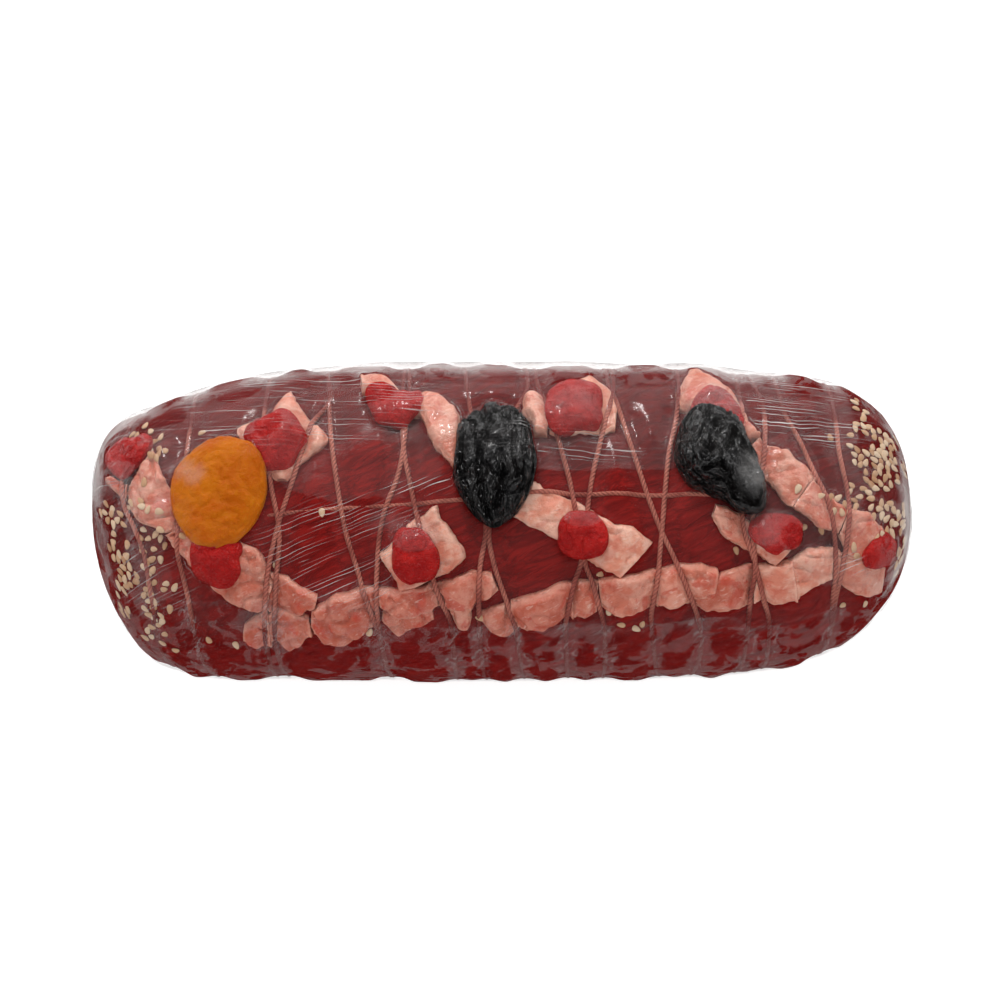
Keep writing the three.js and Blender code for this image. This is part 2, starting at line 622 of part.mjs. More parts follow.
// Fruits sit on the meat, the fat and the twine, and make way for the larger fruits
const fruitCutters = [];
for (const [name, fruit] of Object.entries(FRUITS)) {
  let piece = solid(fruitGeometry(fruit));
  for (const cutter of [meatCutter, fatCutter, twineCutter, ...fruitCutters]) {
    if (overlaps(piece, cutter)) piece = piece.subtract(cutter);
  }
  pieces[name] = mainBody(piece);
  fruitCutters.push(solid(fruitGeometry({ ...fruit, half: fruit.half.map((size) => size + GAP) })));
}

const obstacles = [twineCutter, fatCutter, ...Object.values(pieces)].map(geometryFrom);
const bareMeat = solid(meatGeometry(0));
const seededMeat = clearSeeds(obstacles).reduce((whole, seed) => whole.add(seed), bareMeat);
pieces.meat = mainBody(seededMeat.subtract(tightSpots(seededMeat)));
pieces.twine = twine;

function finishOf(name) {
  if (name.startsWith('fat')) return COLOURS.fat;
  if (name.startsWith('red')) return COLOURS.fruit;
  if (name.startsWith('prune')) return COLOURS.prune;
  return COLOURS[name];
}

const roast = new THREE.Group();
for (const [name, piece] of Object.entries(pieces)) {
  const mesh = new THREE.Mesh(geometryFrom(piece), new THREE.MeshStandardMaterial(finishOf(name)));
  mesh.name = name;
  roast.add(mesh);
}

// The origin is at the middle of the bounding box's bottom
const box = new THREE.Box3().setFromObject(roast);
const middle = box.getCenter(new THREE.Vector3());
roast.position.set(-middle.x, -middle.y, -box.min.z);
roast.updateMatrixWorld(true);

export default roast;
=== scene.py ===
# A stuffed roast in tight cling film, with twine, fat, fruits and sesame seeds.
# Shapes are worked out in millimetres and made in metres. A place on the roast is
# x along it and an angle round it: 0 is the ridge, 90 the near side, 180 below.
import math

import bpy
import numpy as np
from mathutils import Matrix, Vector


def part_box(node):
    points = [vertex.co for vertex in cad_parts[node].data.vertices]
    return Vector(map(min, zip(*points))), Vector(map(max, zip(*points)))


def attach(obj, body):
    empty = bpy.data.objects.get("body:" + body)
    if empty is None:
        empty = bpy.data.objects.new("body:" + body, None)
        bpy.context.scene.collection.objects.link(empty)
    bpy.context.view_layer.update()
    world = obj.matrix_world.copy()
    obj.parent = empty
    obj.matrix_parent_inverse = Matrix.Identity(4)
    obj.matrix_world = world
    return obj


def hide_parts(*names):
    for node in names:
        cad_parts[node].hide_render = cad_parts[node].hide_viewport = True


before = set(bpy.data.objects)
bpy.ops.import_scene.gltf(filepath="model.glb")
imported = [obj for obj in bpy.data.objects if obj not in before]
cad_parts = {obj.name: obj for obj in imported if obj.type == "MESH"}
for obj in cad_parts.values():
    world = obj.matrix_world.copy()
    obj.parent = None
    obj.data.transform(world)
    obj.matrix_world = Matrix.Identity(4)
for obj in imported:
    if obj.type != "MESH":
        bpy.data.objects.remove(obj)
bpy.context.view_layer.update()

MM = 0.001
MM_IN_A_METRE = 1000
FAR_AWAY = 1e9

# Rolled meat
LENGTH = 285.0
HALF_LENGTH = LENGTH / 2
HALF_WIDTH = 55.4
HALF_HEIGHT = 43.5
AXIS_HEIGHT = 41.0
END_ROUNDING = 85.0
END_FULLNESS = 2.3
END_DROP = 10.0
TAPER = 0.1
TOP_SQUARENESS = 2.2
LEAST_DOWNWARD = 0.05
WIDEST_ANGLES = np.array([-89.0, 89.0])
UNDERSIDE_SQUARENESS = 2.7
CHANNEL_DEPTH = 2.6
CHANNEL_DEPTH_BELOW = 4.5
CHANNEL_HALF_WIDTH = 8.0
CHANNEL_FADE = 20.0
FLANK_CHANNEL_LOSS = 0.5

# Sideways bends of the roast's middle line: how far, from what place along it, and over what length
LEFT_BEND, LEFT_BEND_MIDDLE, LEFT_BEND_RUN = -3.6, -112, 32
RIGHT_BEND, RIGHT_BEND_START, RIGHT_BEND_RUN = 6.5, 75, 65
LEFT_TIP_BEND, LEFT_TIP_START, LEFT_TIP_RUN = 11, 118, 24

# Relief of the meat
LUMP_HEIGHT = 0.9
BUNDLE_HEIGHT = 0.3
FIBRE_HEIGHT = 0.06
RELIEF_SUNK = 0.5
RELIEF_FADE = 12
FIBRES_ALONG, FIBRES_ACROSS = 0.94, 0.34
MEAT_INSET = 0.15
TIP_INSET = 0.2
FLOOR_GAP = 0.02

# Grids of the meat and the film
AROUND = 240
MIDDLE_STEP = 0.74
END_ZONE = 18.0
END_RINGS = 22
END_CLOSENESS = 2.2

# Twine
TWINE_RADIUS = 0.82
TWIST_PITCH = 4.6
PLIES = 3
TWINE_STEP = 0.85
TURN_STEPS = 420
STRAND_STEPS = 400
# How far the string's middle is above or in what it lies on, in its own radii
TURN_LIFT = 0.3
STRAND_LIFT, LEFT_STRAND_SINK = -0.25, 0.7
FLANK_SINK = 0.95

# Fat
FAT_THICKNESS = 4.4
FAT_ROWS, FAT_ACROSS = 48, 30
FAT_EDGE_POINTS = 60
# Waves of the edges: size, height and seed
COARSE_WAVES = (6, 0.8, 21)
FINE_WAVES = (2.3, 0.45, 23)
FAT_SHOULDER = 1.5
FAT_CREASE = 1.5
FAT_INTO_MEAT = 0.9
FAT_TOUCHING = 1.1
JOINED_EDGE = 0.84
ROUGH_FAT, SMOOTH_FAT = 1.0, 0.5
DENT_DEPTH, DENT_WIDTH = 1.9, 1.9

# Fruits: the skin goes this far down from the top, in degrees, and dips this far into what is below
FRUIT_SKIN_END = 118
FRUIT_SUNK = 0.4
UPRIGHT_POWER = 0.85
SPREAD_POWER, RED_SPREAD_POWER = 0.86, 0.72
FRUIT_GRID, PRUNE_GRID = (60, 96), (120, 180)
PRUNE_FOLD, PRUNE_WRINKLE = 1.9, 1.0
CREASE_DEPTH, CREASE_WIDTH = 2.4, 0.07
APRICOT_DENT, APRICOT_RIM = 0.9, 0.5
RED_WRINKLE = 0.5

# Film
FILM_GAP = 0.12
FILM_PASSES = 600
FILM_TIP_GROW = 0.35
LEAST_SLACK = 0.3
FILM_BELOW = 0.1
# How much of the film's light hides what is below, as shares: haze (partly the film's own, partly painted
# reflection), folds and creases (painted highlights), spans and shine
CLEAR_LIGHT = 0.005
VEIL_LIGHT, FLANK_VEIL_LIGHT = 0.023, 0.016
FOLD_LIGHT = 0.5
CREASE_LIGHT = 0.14
SPAN_LIGHT, SIDE_ON_LIGHT = 0.012, 0.42
SHINE_FACING, SHINE_SIDE_ON = 0.014, 0.26
MOST_OPAQUE = 0.9

# Zones, each from where it begins to where it is full, as angles round the roast or as x
MEAT_UNDERSIDE = (110, 150)
FILM_UNDERSIDE = (120, 160)
FLANK_CHANNELS = (50, 68)
LOWER_CHANNELS = (98, 120)
DEEPER_CHANNELS = (100, 150)
BRIGHT_FLANK = (30, 50)
NEAR_SINK = (46, 62)
FAR_SINK = (34, 52)
STAINED_SIDE = (-14, -4)
LEFT_STRAND = (15, 42)
SLACK_SIDES = (32, 50)
TIGHT_FLANKS = (72, 95)
SLACK_TIPS = (104, 120)
NEAR_FLANK_GAPS = (42, 60)
REAR_FLANK = (42, 56)
LEFT_FLANK = (50, 85)
BLOTCHY_TIPS = (112, 122)

# The string's turns as [angle, x], from the far side over the top to the near side
TURNS = [
    [[-60, -127], [-2, -125], [10, -121], [25, -117], [60, -114]],
    [[-60, -104], [10, -105], [24, -105], [44, -102], [70, -100]],
    [[-54, -57], [-35, -62], [-12, -67], [16, -73], [38, -76], [64, -77]],
    [[-50, -79], [-7, -75], [16, -72], [38, -73], [64, -74]],
    [[-55, -58], [-29, -56], [-2, -53], [19, -50], [39, -45], [54, -41], [80, -38]],
    [[-60, -31], [-23, -32], [-8, -34], [8, -38], [27, -40], [54, -40]],
    [[-60, -33], [-23, -32], [-8, -30], [11, -27], [35, -22], [58, -16]],
    [[-63, -12], [-39, -10], [-10, -7], [16, -5], [33, -7], [60, -7]],
    [[-57, 9], [-38, 4], [-10, -1], [17, -4], [32, -2], [58, 5]],
    [[-60, 12], [-24, 19], [-8, 22], [8, 24], [28, 26], [39, 23], [56, 21]],
    [[-60, 38], [-28, 33], [-11, 30], [6, 28], [29, 27], [39, 30], [61, 34]],
    [[-60, 36], [-37, 40], [-22, 43], [2, 48], [17, 52], [45, 62], [66, 66]],
    [[-60, 60], [-38, 58], [-21, 55], [2, 53], [17, 52], [30, 51], [55, 49]],
    [[-52, 87], [-19, 86], [15, 81], [30, 82], [44, 81], [55, 81]],
    [[-52, 80], [12, 78], [30, 82], [44, 85], [58, 88]],
    [[-47, 94], [-27, 99], [-10, 103], [7, 107], [28, 109], [55, 109]],
    [[-43, 112], [-24, 112], [2, 114], [22, 113], [53, 110]],
]
# Where the string passes under the middle of the roast, before each turn and after the last one
UNDER = [-112, -112, -90, -76, -70, -40, -32, -15, 0, 12, 28, 36, 61, 66, 80, 92, 110, 110]
# The strand along the ridge, as [x, angle]
RIDGE_STRAND = [[-76, 8], [-53, 6], [-26, 4], [17, 0], [45, 0], [63, 0], [86, 1]]

# Pieces of fat: two long edges as [x, angle], the first on the far side or the right
FAT = {
    "fat_under_fruit_1": (
        [[-69, -46], [-65, -37], [-56, -26], [-61, -20], [-66, -14], [-70, -7]],
        [[-71, -47], [-77, -38], [-87, -31], [-82, -22], [-77, -14], [-73, -7]],
    ),
    "fat_far_hook": (
        [[-47, -53], [-39, -53], [-29, -45], [-20, -42], [-14, -35], [-13, -25], [-14, -12]],
        [[-46, -47], [-38, -43], [-32, -38], [-27, -36], [-25, -28], [-21, -19], [-16, -12]],
    ),
    "fat_under_fruit_3": (
        [[16, -46], [21, -51], [30, -53], [37, -53], [39, -46]],
        [[16, -28], [24, -26], [29, -28], [34, -29], [38, -30]],
    ),
    "fat_beside_fruit_3": (
        [[10, -46], [14, -45], [15, -37], [15, -26]],
        [[7, -44], [6, -37], [9, -31], [11, -25]],
    ),
    "fat_under_fruit_4": (
        [[-21, 6], [-19, 11], [-14, 18], [-11, 27], [-20, 35]],
        [[-24, 7], [-29, 13], [-39, 26], [-36, 31], [-33, 39]],
    ),
    "fat_under_fruit_5": (
        [[11, -4], [16, 0], [24, 3], [31, 9], [37, 14], [42, 14], [49, 21]],
        [[4, 11], [10, 15], [18, 20], [25, 27], [31, 31], [35, 32], [38, 34]],
    ),
    "fat_below_prune_2": ([[70, 5], [78, 8], [86, 16], [93, 24]], [[68, 10], [71, 18], [78, 24], [88, 30]]),
    "fat_left_end": (
        [[-114, -27], [-112, -20], [-108, -11], [-105, -2], [-104, 7], [-104, 12]],
        [[-116, -29], [-121, -20], [-124, -10], [-123, 1], [-117, 8], [-110, 12]],
    ),
    "fat_left_tip": ([[-130, -17], [-124, -15]], [[-132, -12], [-125, -5]]),
    "fat_left_band": (
        [[-103, 9], [-95, 14], [-85, 18], [-79, 22], [-76, 30], [-74, 37]],
        [[-109, 13], [-104, 23], [-99, 29], [-90, 39], [-84, 45], [-77, 47]],
    ),
    "fat_left_fold": (
        [[-77, 31], [-70, 34], [-64, 38], [-59, 41]],
        [[-78, 46], [-73, 50], [-66, 49], [-60, 45]],
    ),
    "fat_row_1": ([[-84, 52], [-81, 50], [-76, 48]], [[-84, 56], [-81, 61], [-75, 62]]),
    "fat_row_2": ([[-76, 49], [-70, 48], [-62, 49]], [[-76, 60], [-69, 64], [-61, 57]]),
    "fat_row_3": ([[-61, 46], [-55, 42], [-48, 40], [-40, 40]], [[-62, 52], [-58, 59], [-51, 60], [-40, 54]]),
    "fat_row_4": ([[-40, 40], [-35, 39], [-29, 38], [-21, 38]], [[-40, 46], [-33, 48], [-26, 47], [-20, 45]]),
    "fat_row_4_lower": ([[-39, 46], [-32, 47], [-23, 45]], [[-39, 53], [-33, 56], [-22, 51]]),
    "fat_row_5": ([[-21, 38], [-16, 35], [-9, 32], [-3, 33]], [[-20, 46], [-15, 47], [-8, 46], [-1, 40]]),
    "fat_row_5_nub": ([[-10, 43], [-10, 49], [-11, 54]], [[-16, 43], [-17, 49], [-15, 54]]),
    "fat_row_6": ([[-7, 49], [-3, 47], [1, 46], [4, 49]], [[-7, 52], [-3, 56], [3, 58], [9, 54]]),
    "fat_strip_1": ([[3, 45], [9, 41], [17, 38], [23, 37]], [[4, 50], [7, 53], [13, 53], [23, 49]]),
    "fat_strip_2": ([[23, 37], [27, 36], [31, 36]], [[23, 49], [27, 50], [31, 49]]),
    "fat_strip_3": ([[31, 35], [38, 34], [44, 33], [50, 32]], [[32, 47], [36, 48], [42, 48], [50, 46]]),
    "fat_strip_4": ([[50, 32], [57, 30], [65, 30], [70, 32]], [[50, 45], [54, 46], [61, 45], [68, 40]]),
    "fat_strip_5": ([[66, 39], [71, 33], [76, 31], [82, 30]], [[61, 46], [65, 48], [72, 48], [82, 47]]),
    "fat_strip_6": ([[82, 30], [88, 30], [93, 28]], [[82, 46], [89, 46], [96, 44]]),
    "fat_strip_7": ([[93, 28], [98, 25], [103, 25], [108, 26]], [[96, 44], [101, 41], [108, 42]]),
    "fat_strip_8": (
        [[108, 27], [113, 30], [120, 35], [128, 42]],
        [[109, 43], [114, 47], [121, 54], [126, 55]],
    ),
    "fat_band_1": (
        [[64, -58], [70, -55], [76, -49], [80, -43], [82, -34], [85, -27]],
        [[58, -48], [59, -40], [64, -38], [70, -38], [77, -35], [80, -24]],
    ),
    "fat_band_2": ([[85, -27], [90, -23], [98, -15], [103, -8]], [[81, -22], [86, -10], [89, 1], [94, 7]]),
    "fat_band_3": ([[103, -8], [106, -1], [110, 4], [114, 8]], [[94, 7], [98, 11], [102, 15], [109, 20]]),
    "fat_band_4": ([[114, 8], [120, 11], [125, 20], [128, 28]], [[109, 21], [112, 28], [117, 33], [125, 39]]),
}

# How pale the pieces of fat are, from 0, stained red, to 1; the ones not named have FAT_TONE
FAT_TONE = 0.45
FAT_TONES = {
    "fat_under_fruit_1": 0.8, "fat_under_fruit_3": 1.0, "fat_beside_fruit_3": 0.7, "fat_under_fruit_4": 0.85,
    "fat_under_fruit_5": 1.0, "fat_below_prune_2": 0.6, "fat_far_hook": 0.6, "fat_left_end": 0.6,
    "fat_left_band": 0.35, "fat_left_fold": 0.15, "fat_row_1": 0.1, "fat_row_2": 0.1, "fat_row_3": 0.1,
    "fat_row_4": 0.2, "fat_row_4_lower": 0.25, "fat_row_5": 0.3, "fat_row_6": 0.35, "fat_strip_1": 0.12,
    "fat_strip_2": 0.35, "fat_strip_5": 0.3, "fat_strip_6": 0.7, "fat_strip_7": 0.8, "fat_strip_8": 0.5,
    "fat_band_2": 0.6,
}

# Outlines of the fruits, as [x, round the roast] from the fruit's middle, near side positive
OUTLINES = {
    "prune_1": [
        [13.2, 2.3], [10.4, 10.1], [4.5, 17.8], [-0.7, 20.4], [-5.2, 18], [-10, 13.3], [-13.4, 6.8],
        [-13.4, -2.6], [-11, -11.8], [-5.8, -17.8], [-0.3, -19.6], [3.6, -18.4], [8.5, -14.2], [12, -5.8],
    ],
    "prune_2": [
        [12.4, 0], [14.7, 6], [13.8, 14.3], [9.9, 16.4], [5.2, 15], [1.3, 12.3], [-5.8, 8.6], [-10.3, 6.5],
        [-14, 0], [-14, -7.5], [-11.3, -13.9], [-6.4, -16.7], [-0.6, -16], [5.5, -13.5], [9.8, -6.6],
    ],
    "apricot": [
        [15.3, 3], [12.3, 10.4], [6.9, 15.5], [1.8, 17.2], [-4.3, 16], [-11, 11.4], [-15.2, 4.1],
        [-16.1, -3.4], [-14.7, -11.5], [-9.3, -16], [-2.8, -17.6], [6.8, -15.4], [12.4, -12.4], [15.8, -3.6],
    ],
    "red_fruit_1": [
        [8.1, 3.5], [4.6, 9.6], [0.8, 9.6], [-3.1, 8.5], [-6.6, 4], [-9.2, -0.5], [-10.1, -5], [-7.5, -8.1],
        [-2.9, -9.2], [3.1, -9], [7.7, -5.7], [10.2, -1.6],
    ],
    "red_fruit_2": [
        [9.5, 0.9], [6.4, 4], [3.1, 6.6], [-1.7, 6.1], [-5.6, 5.6], [-7.8, 0.9], [-9, -6], [-6, -7.6],
        [0.5, -7], [4.4, -5.9], [8.6, -4.9],
    ],
    "red_fruit_3": [
        [8.8, 6], [5, 7.4], [1.1, 8], [-2.5, 9.7], [-6.6, 8], [-8.9, 5], [-8.9, -3.3], [-7.8, -8],
        [0.6, -9.2], [8.8, -8.5], [9.2, -1.1],
    ],
    "red_fruit_4": [
        [7.6, 0], [7.2, 4], [5.7, 6.4], [1.4, 7.5], [-4.2, 7.1], [-7.3, 4], [-7.8, 0], [-7.3, -3.8],
        [-5.2, -7.7], [-1.5, -8.4], [3.1, -7.2], [5.7, -3.8],
    ],
    "red_fruit_5": [
        [8.3, 0.8], [6.3, 5.4], [1.9, 7.6], [-3, 6.8], [-7, 4.1], [-8.3, -0.7], [-7.4, -4.2], [-4.8, -6.8],
        [0, -7.8], [5, -6.4], [7.6, -2.9],
    ],
    "red_fruit_6": [
        [8.7, 1], [7.3, 4.2], [2.8, 5], [-0.6, 6], [-5, 4], [-8.4, 0.5], [-8.4, -3], [-6, -5.4],
        [-0.6, -6], [5, -5.2], [8.4, -2.5],
    ],
    "red_fruit_7": [
        [7, 2.3], [5.8, 5.3], [0.7, 4.8], [-3.5, 3.5], [-6.5, 2], [-7, -1], [-5.1, -3], [-1.4, -4.5],
        [1.7, -5.5], [4.2, -3.2], [6.3, -0.2],
    ],
    "red_fruit_8": [
        [7.8, 0.6], [8, 3.9], [5.8, 7.2], [1.4, 8.3], [-3, 7.2], [-6.8, 5], [-8.5, 1.7], [-7.9, -5],
        [-6.6, -8], [-2, -7.5], [2.5, -6.6], [5.8, -5.5], [8.6, -2.8],
    ],
    "red_fruit_9": [
        [7.2, 0.4], [3.3, 4.2], [0.4, 7.1], [-1.6, 8], [-5.7, 5.3], [-8.4, 2.2], [-9.1, -0.9], [-7.7, -4.3],
        [-4.3, -7], [1.8, -8], [7.2, -7], [9.4, -4],
    ],
    "red_fruit_10": [[9.2, 0], [0, 8.2], [-9, 0], [0, -8.2]],
}

# Fruits: kind, x and angle of the middle, and height
FRUITS = {
    "prune_1": ("prune", -1.7, -12.0, 13.5),
    "prune_2": ("prune", 71, -11.8, 14.0),
    "apricot": ("apricot", -91.6, -3.5, 8.6),
    "red_fruit_1": ("red_fruit", -73.9, -23.5, 5.4),
    "red_fruit_2": ("red_fruit", -35.3, -38.5, 5.0),
    "red_fruit_3": ("red_fruit", 23.6, -36.4, 5.2),
    "red_fruit_4": ("red_fruit", -27.3, 25.1, 6.0),
    "red_fruit_5": ("red_fruit", 26, 17.6, 6.2),
    "red_fruit_6": ("red_fruit", 88.6, 17.0, 4.8),
    "red_fruit_7": ("red_fruit", 124.6, 31.7, 4.6),
    "red_fruit_8": ("red_fruit", -91.5, 24, 5.4),
    "red_fruit_9": ("red_fruit", -124.8, -29, 5.0),
    "red_fruit_10": ("red_fruit", 70.6, -34, 4.6),
}
# Creases pressed into the prunes, as points in shares of the reach along x and round the roast
PRUNE_CREASES = {
    "prune_1": [
        [[-0.29, -0.94], [-0.17, -0.57], [-0.07, -0.48], [-0.36, -0.15], [-0.38, 0.25], [-0.28, 0.62]],
        [[0.05, 0.9], [0.0, 0.6], [0.16, 0.35]], [[-0.02, 0.92], [-0.2, 0.72]], [[0.12, -0.9], [0.2, -0.5]],
    ],
    "prune_2": [
        [[-0.5, 0.35], [-0.05, 0.3], [0.2, 0.45], [0.45, 0.62]], [[0.2, 0.45], [0.2, 0.75]],
        [[-0.3, -0.75], [-0.1, -0.35], [-0.35, 0.05]], [[0.3, -0.5], [0.1, -0.1]],
    ],
}

# Sesame seeds: half sizes, the least distance from one to the next, and how far patches spill over
SEED_LONG = 1.52
SEED_WIDE = 1.0
SEED_THICK = 0.42
SEEDS_APART = 2.1
SEED_SPREAD = 1.15
SEED_TRIES = 30
SEED_EDGE = 2
# Patches of seeds as [x, angle, reach along x, reach in angle, count]
SEED_PATCHES = [
    [-123, -48, 4.7, 4, 7], [-114, -32, 2.5, 7, 8], [-133, 8, 1.8, 6, 4], [-127, 9, 2.4, 5, 6],
    [-123, -4, 1.1, 3, 2], [-126, 27, 3.9, 7, 12], [-114, 18, 4.2, 7, 11], [-124, 38, 2.0, 5, 6],
    [-126, 54, 2.2, 9, 7], [-117, 32, 2.9, 6, 7], [-116, 45, 2.2, 7, 9], [-114, 56, 2.9, 5, 8],
    [-108, 42, 3.1, 6, 4], [-112, 64, 7.8, 3, 4], [-114, -2, 3.5, 5, 3],
    [122, -50, 2.4, 6, 6], [121, -37, 3.4, 3, 5], [113, -30, 3.6, 3, 3], [128, -34, 3.7, 7, 14],
    [122, -20, 5.2, 4, 12], [128, -16, 4.8, 8, 14], [125, -7, 4.6, 5, 6], [118, 0, 4.3, 4, 8],
    [112, 6, 4.2, 4, 8], [126, 12, 3.9, 5, 8], [133, 20, 3.1, 9, 12], [135, 45, 2.5, 12, 7],
    [127, 26, 4.7, 4, 4], [136, -40, 3.0, 16, 5],
]
# Seeds that lie alone, as [x, angle]
STRAY_SEEDS = [
    [-117, -13], [-118, -4], [-99, -37], [-58, 8], [-73, 31], [-103, 14], [-43, 58], [-87, 62], [-96, 60],
    [-7, 51], [32, 34], [35, 50], [39, 54], [44, 56], [46, 55], [76, 25], [96, -1], [104, 2], [104, 18],
    [98, 16], [115, 27], [116, 31], [113, 56], [121, 59],
]

# Where the film lays a white veil, partly its own haze and partly a painted reflection: the far zone ends at
# these [x, angle], and the near flank's begins at an angle
FAR_VEIL_END = [
    [-142, 50], [-122, 46], [-110, 20], [-104, -14], [-88, -26], [-30, -22], [-14, -12], [-8, -9],
    [74, -9], [84, 10], [95, 32], [142, 60],
]
FLANK_VEIL_START = 50
FLANK_VEIL_LEFT_DROP = 11
# Here the far zone ends in a nearly straight line
STRAIGHT_VEIL_MIDDLE, STRAIGHT_VEIL_REACH = 34, 40
# Spots where the film lies wet on what is below, as [x, angle, reach along x, reach in angle, strength]
WET_SPOTS = [
    [-62, 34, 11, 6, 1], [-50, 30, 7, 4, 1], [-132, 12, 4, 9, 1], [-108, 48, 5, 6, 1], [-103, 58, 4, 6, 1],
    [-95, 55, 5, 5, 1], [-91.5, 28, 9, 8, 1], [-126, -30, 6, 7, 1], [-76, -28, 5, 5, 1], [-41, -42, 6, 4, 1],
    [24, -47, 8, 2, 1], [93.5, 18, 4, 5, 1], [124, 31, 8, 8, 1], [-88, -50, 8, 4, 1], [-112, -46, 8, 4, 1],
    [-66, -56, 8, 3, 1], [-26, 30, 8, 7, 1], [118, 52, 6, 5, 1], [130, -10, 4, 5, 1], [-128, 34, 3, 8, 1],
]
# Spots where the film stands off and hides more, in the same way
HAZY_SPOTS = [
    [-28, 17, 9, 6, 1], [-91.5, 14, 9, 5, 1], [85, 14, 7, 7, 1], [-73, -19, 10, 7, 1], [26, 11, 6, 3, 1],
    [-48, -12, 29, 14, 1], [-40, 42, 30, 8, 0.5], [-104, 4, 6, 8, 0.8], [-112, 40, 5, 16, 1],
]
# Spots of painted glare, where the film's white is palest
PAINTED_GLARE_SPOTS = [
    [80, -6, 4.5, 7, 1.2], [-106, -19, 3.6, 4, 0.9], [-103, -15, 3.6, 4, 1.2], [-99, -11, 3.4, 4, 1.0],
    [-111, -1, 2, 6, 0.9], [-132, -8, 5, 6, 0.5], [70, -38, 9, 6, 1.0], [-38, 12, 6, 4, 0.4],
    [24, -34, 8, 7, 0.5], [85, 15, 5, 7, 0.5],
]
# Bundles of fine folds in the film, drawn as painted highlights, in the same way: those that rise to the
# right, and level ones
RISING_FOLDS = [
    [-49, 22, 34, 24, 1.1], [-26, -3, 14, 4, 1.8], [119, 33, 12, 7, 1.5], [-116, 36, 20, 20, 0.8],
]
LEVEL_FOLDS = [
    [-68, -40, 56, 22, 1.0], [100, -40, 28, 22, 2.0], [26, -20, 36, 10, 0.9], [-128, -4, 12, 12, 0.5],
]
FOLD_CORE, FOLD_EDGE = 0.55, 1.1

# Lights: place, width and height in metres, radiance, and whether shiny things mirror it
LIGHTS = {
    "far_window": ((0.0, 0.95, 0.62), (2.4, 1.0), 1.3, True),
    "key_lamp": ((-0.15, 0.8, 0.85), (0.12, 0.12), 60.0, True),
    "fill_lamp": ((0.0, -0.35, 1.3), (0.9, 0.9), 2.0, False),
}
LIT_PLACE = (0, 0, 0.05)
# The room is bright up to one height of the sky, as a share, and dark from the next one up
BRIGHT_UP_TO, DARK_FROM = 0.3, 0.62
DARK_STRENGTH = 0.12
FLOOR_HALF_SIDE = 6.0
FLOOR_GREY = (0.8, 0.8, 0.8, 1)
FLOOR_GLOW = 0.72
WHITE = (1, 1, 1, 1)

# Camera
CAMERA_ELEVATION = 77.0
CAMERA_DISTANCE = 0.62
VIEW_WIDTH = 0.345
SENSOR = 36.0
AIM = (-0.0004, 0.0, 0.044)
AIM_UP = 0.007


# Large odd numbers that mix a lattice point and a seed into one value
MIX_X, MIX_Y, MIX_Z, MIX_SEED, MIX_AGAIN = 374761393, 668265263, 1442695041, 974634777, 1274126177
LOW_32_BITS = 0xFFFFFFFF
LOW_16_BITS = 0xFFFF


def hashed(ix, iy, iz, seed):
    """A repeatable value from 0 to 1 for each lattice point."""
    h = (ix * MIX_X + iy * MIX_Y + iz * MIX_Z + seed * MIX_SEED) & LOW_32_BITS
    h = ((h ^ (h >> 13)) * MIX_AGAIN) & LOW_32_BITS
    return ((h ^ (h >> 16)) & LOW_16_BITS) / LOW_16_BITS


def noise(points, size, seed=0):
    """Smooth noise from -1 to 1, with lumps of a size (one number or one for each axis), by seed."""
    q = points / np.asarray(size, dtype=float)
    cell = np.floor(q).astype(np.int64)
    f = q - cell
    f = f * f * (3 - 2 * f)
    total = np.zeros(len(points))
    for dx in (0, 1):
        for dy in (0, 1):
            for dz in (0, 1):
                weight = (f[:, 0] if dx else 1 - f[:, 0]) * (f[:, 1] if dy else 1 - f[:, 1])
                weight = weight * (f[:, 2] if dz else 1 - f[:, 2])
                total += weight * hashed(cell[:, 0] + dx, cell[:, 1] + dy, cell[:, 2] + dz, seed)
    return 2 * total - 1


def ridges(points, size, seed=0):
    """Sharp creases: 1 on a crease and falling to 0 away from it."""
    return 1 - np.abs(noise(points, size, seed))


def step(low, high, value):
    """A smooth rise from 0 at low to 1 at high."""
    t = np.clip((value - low) / (high - low), 0, 1)
    return t * t * (3 - 2 * t)


def smooth_through(points, keys):
    """Smooth values through [key, value] points; past the ends, the end values."""
    table = np.asarray(points, dtype=float)
    k, v = table[:, 0], table[:, 1:]
    slope = np.empty_like(v)
    slope[1:-1] = (v[2:] - v[:-2]) / (k[2:] - k[:-2])[:, None]
    slope[0] = (v[1] - v[0]) / (k[1] - k[0])
    slope[-1] = (v[-1] - v[-2]) / (k[-1] - k[-2])
    keys = np.clip(np.asarray(keys, dtype=float), k[0], k[-1])
    i = np.clip(np.searchsorted(k, keys, side="right") - 1, 0, len(k) - 2)
    span = (k[i + 1] - k[i])
    t = ((keys - k[i]) / span)[..., None]
    span = span[..., None]
    out = (1 + 2 * t) * (1 - t) ** 2 * v[i] + t * (1 - t) ** 2 * span * slope[i]
    out = out + t * t * (3 - 2 * t) * v[i + 1] + t * t * (t - 1) * span * slope[i + 1]
    return out[..., 0] if v.shape[1] == 1 else out


ROUTES = [[[-180, UNDER[k]], *turn, [180, UNDER[k + 1]]] for k, turn in enumerate(TURNS)]


def fullness(x):
    """The roast's size along it, as a share of its full size."""
    depth = np.clip((HALF_LENGTH - np.abs(x)) / END_ROUNDING, 0, 1)
    return (1 - (1 - depth) ** 4) ** (1 / END_FULLNESS) * (1 - TAPER * (x / HALF_LENGTH) ** 2)


def middle_y(x):
    """How far the middle line is to the far side, before the frame's shift."""
    left_bend = LEFT_BEND * np.exp(-(((x - LEFT_BEND_MIDDLE) / LEFT_BEND_RUN) ** 2))
    right_bend = RIGHT_BEND * np.clip((x - RIGHT_BEND_START) / RIGHT_BEND_RUN, 0, 1) ** 2
    left_tip = LEFT_TIP_BEND * np.clip((-x - LEFT_TIP_START) / LEFT_TIP_RUN, 0, 1) ** 1.5
    return left_bend + right_bend + left_tip


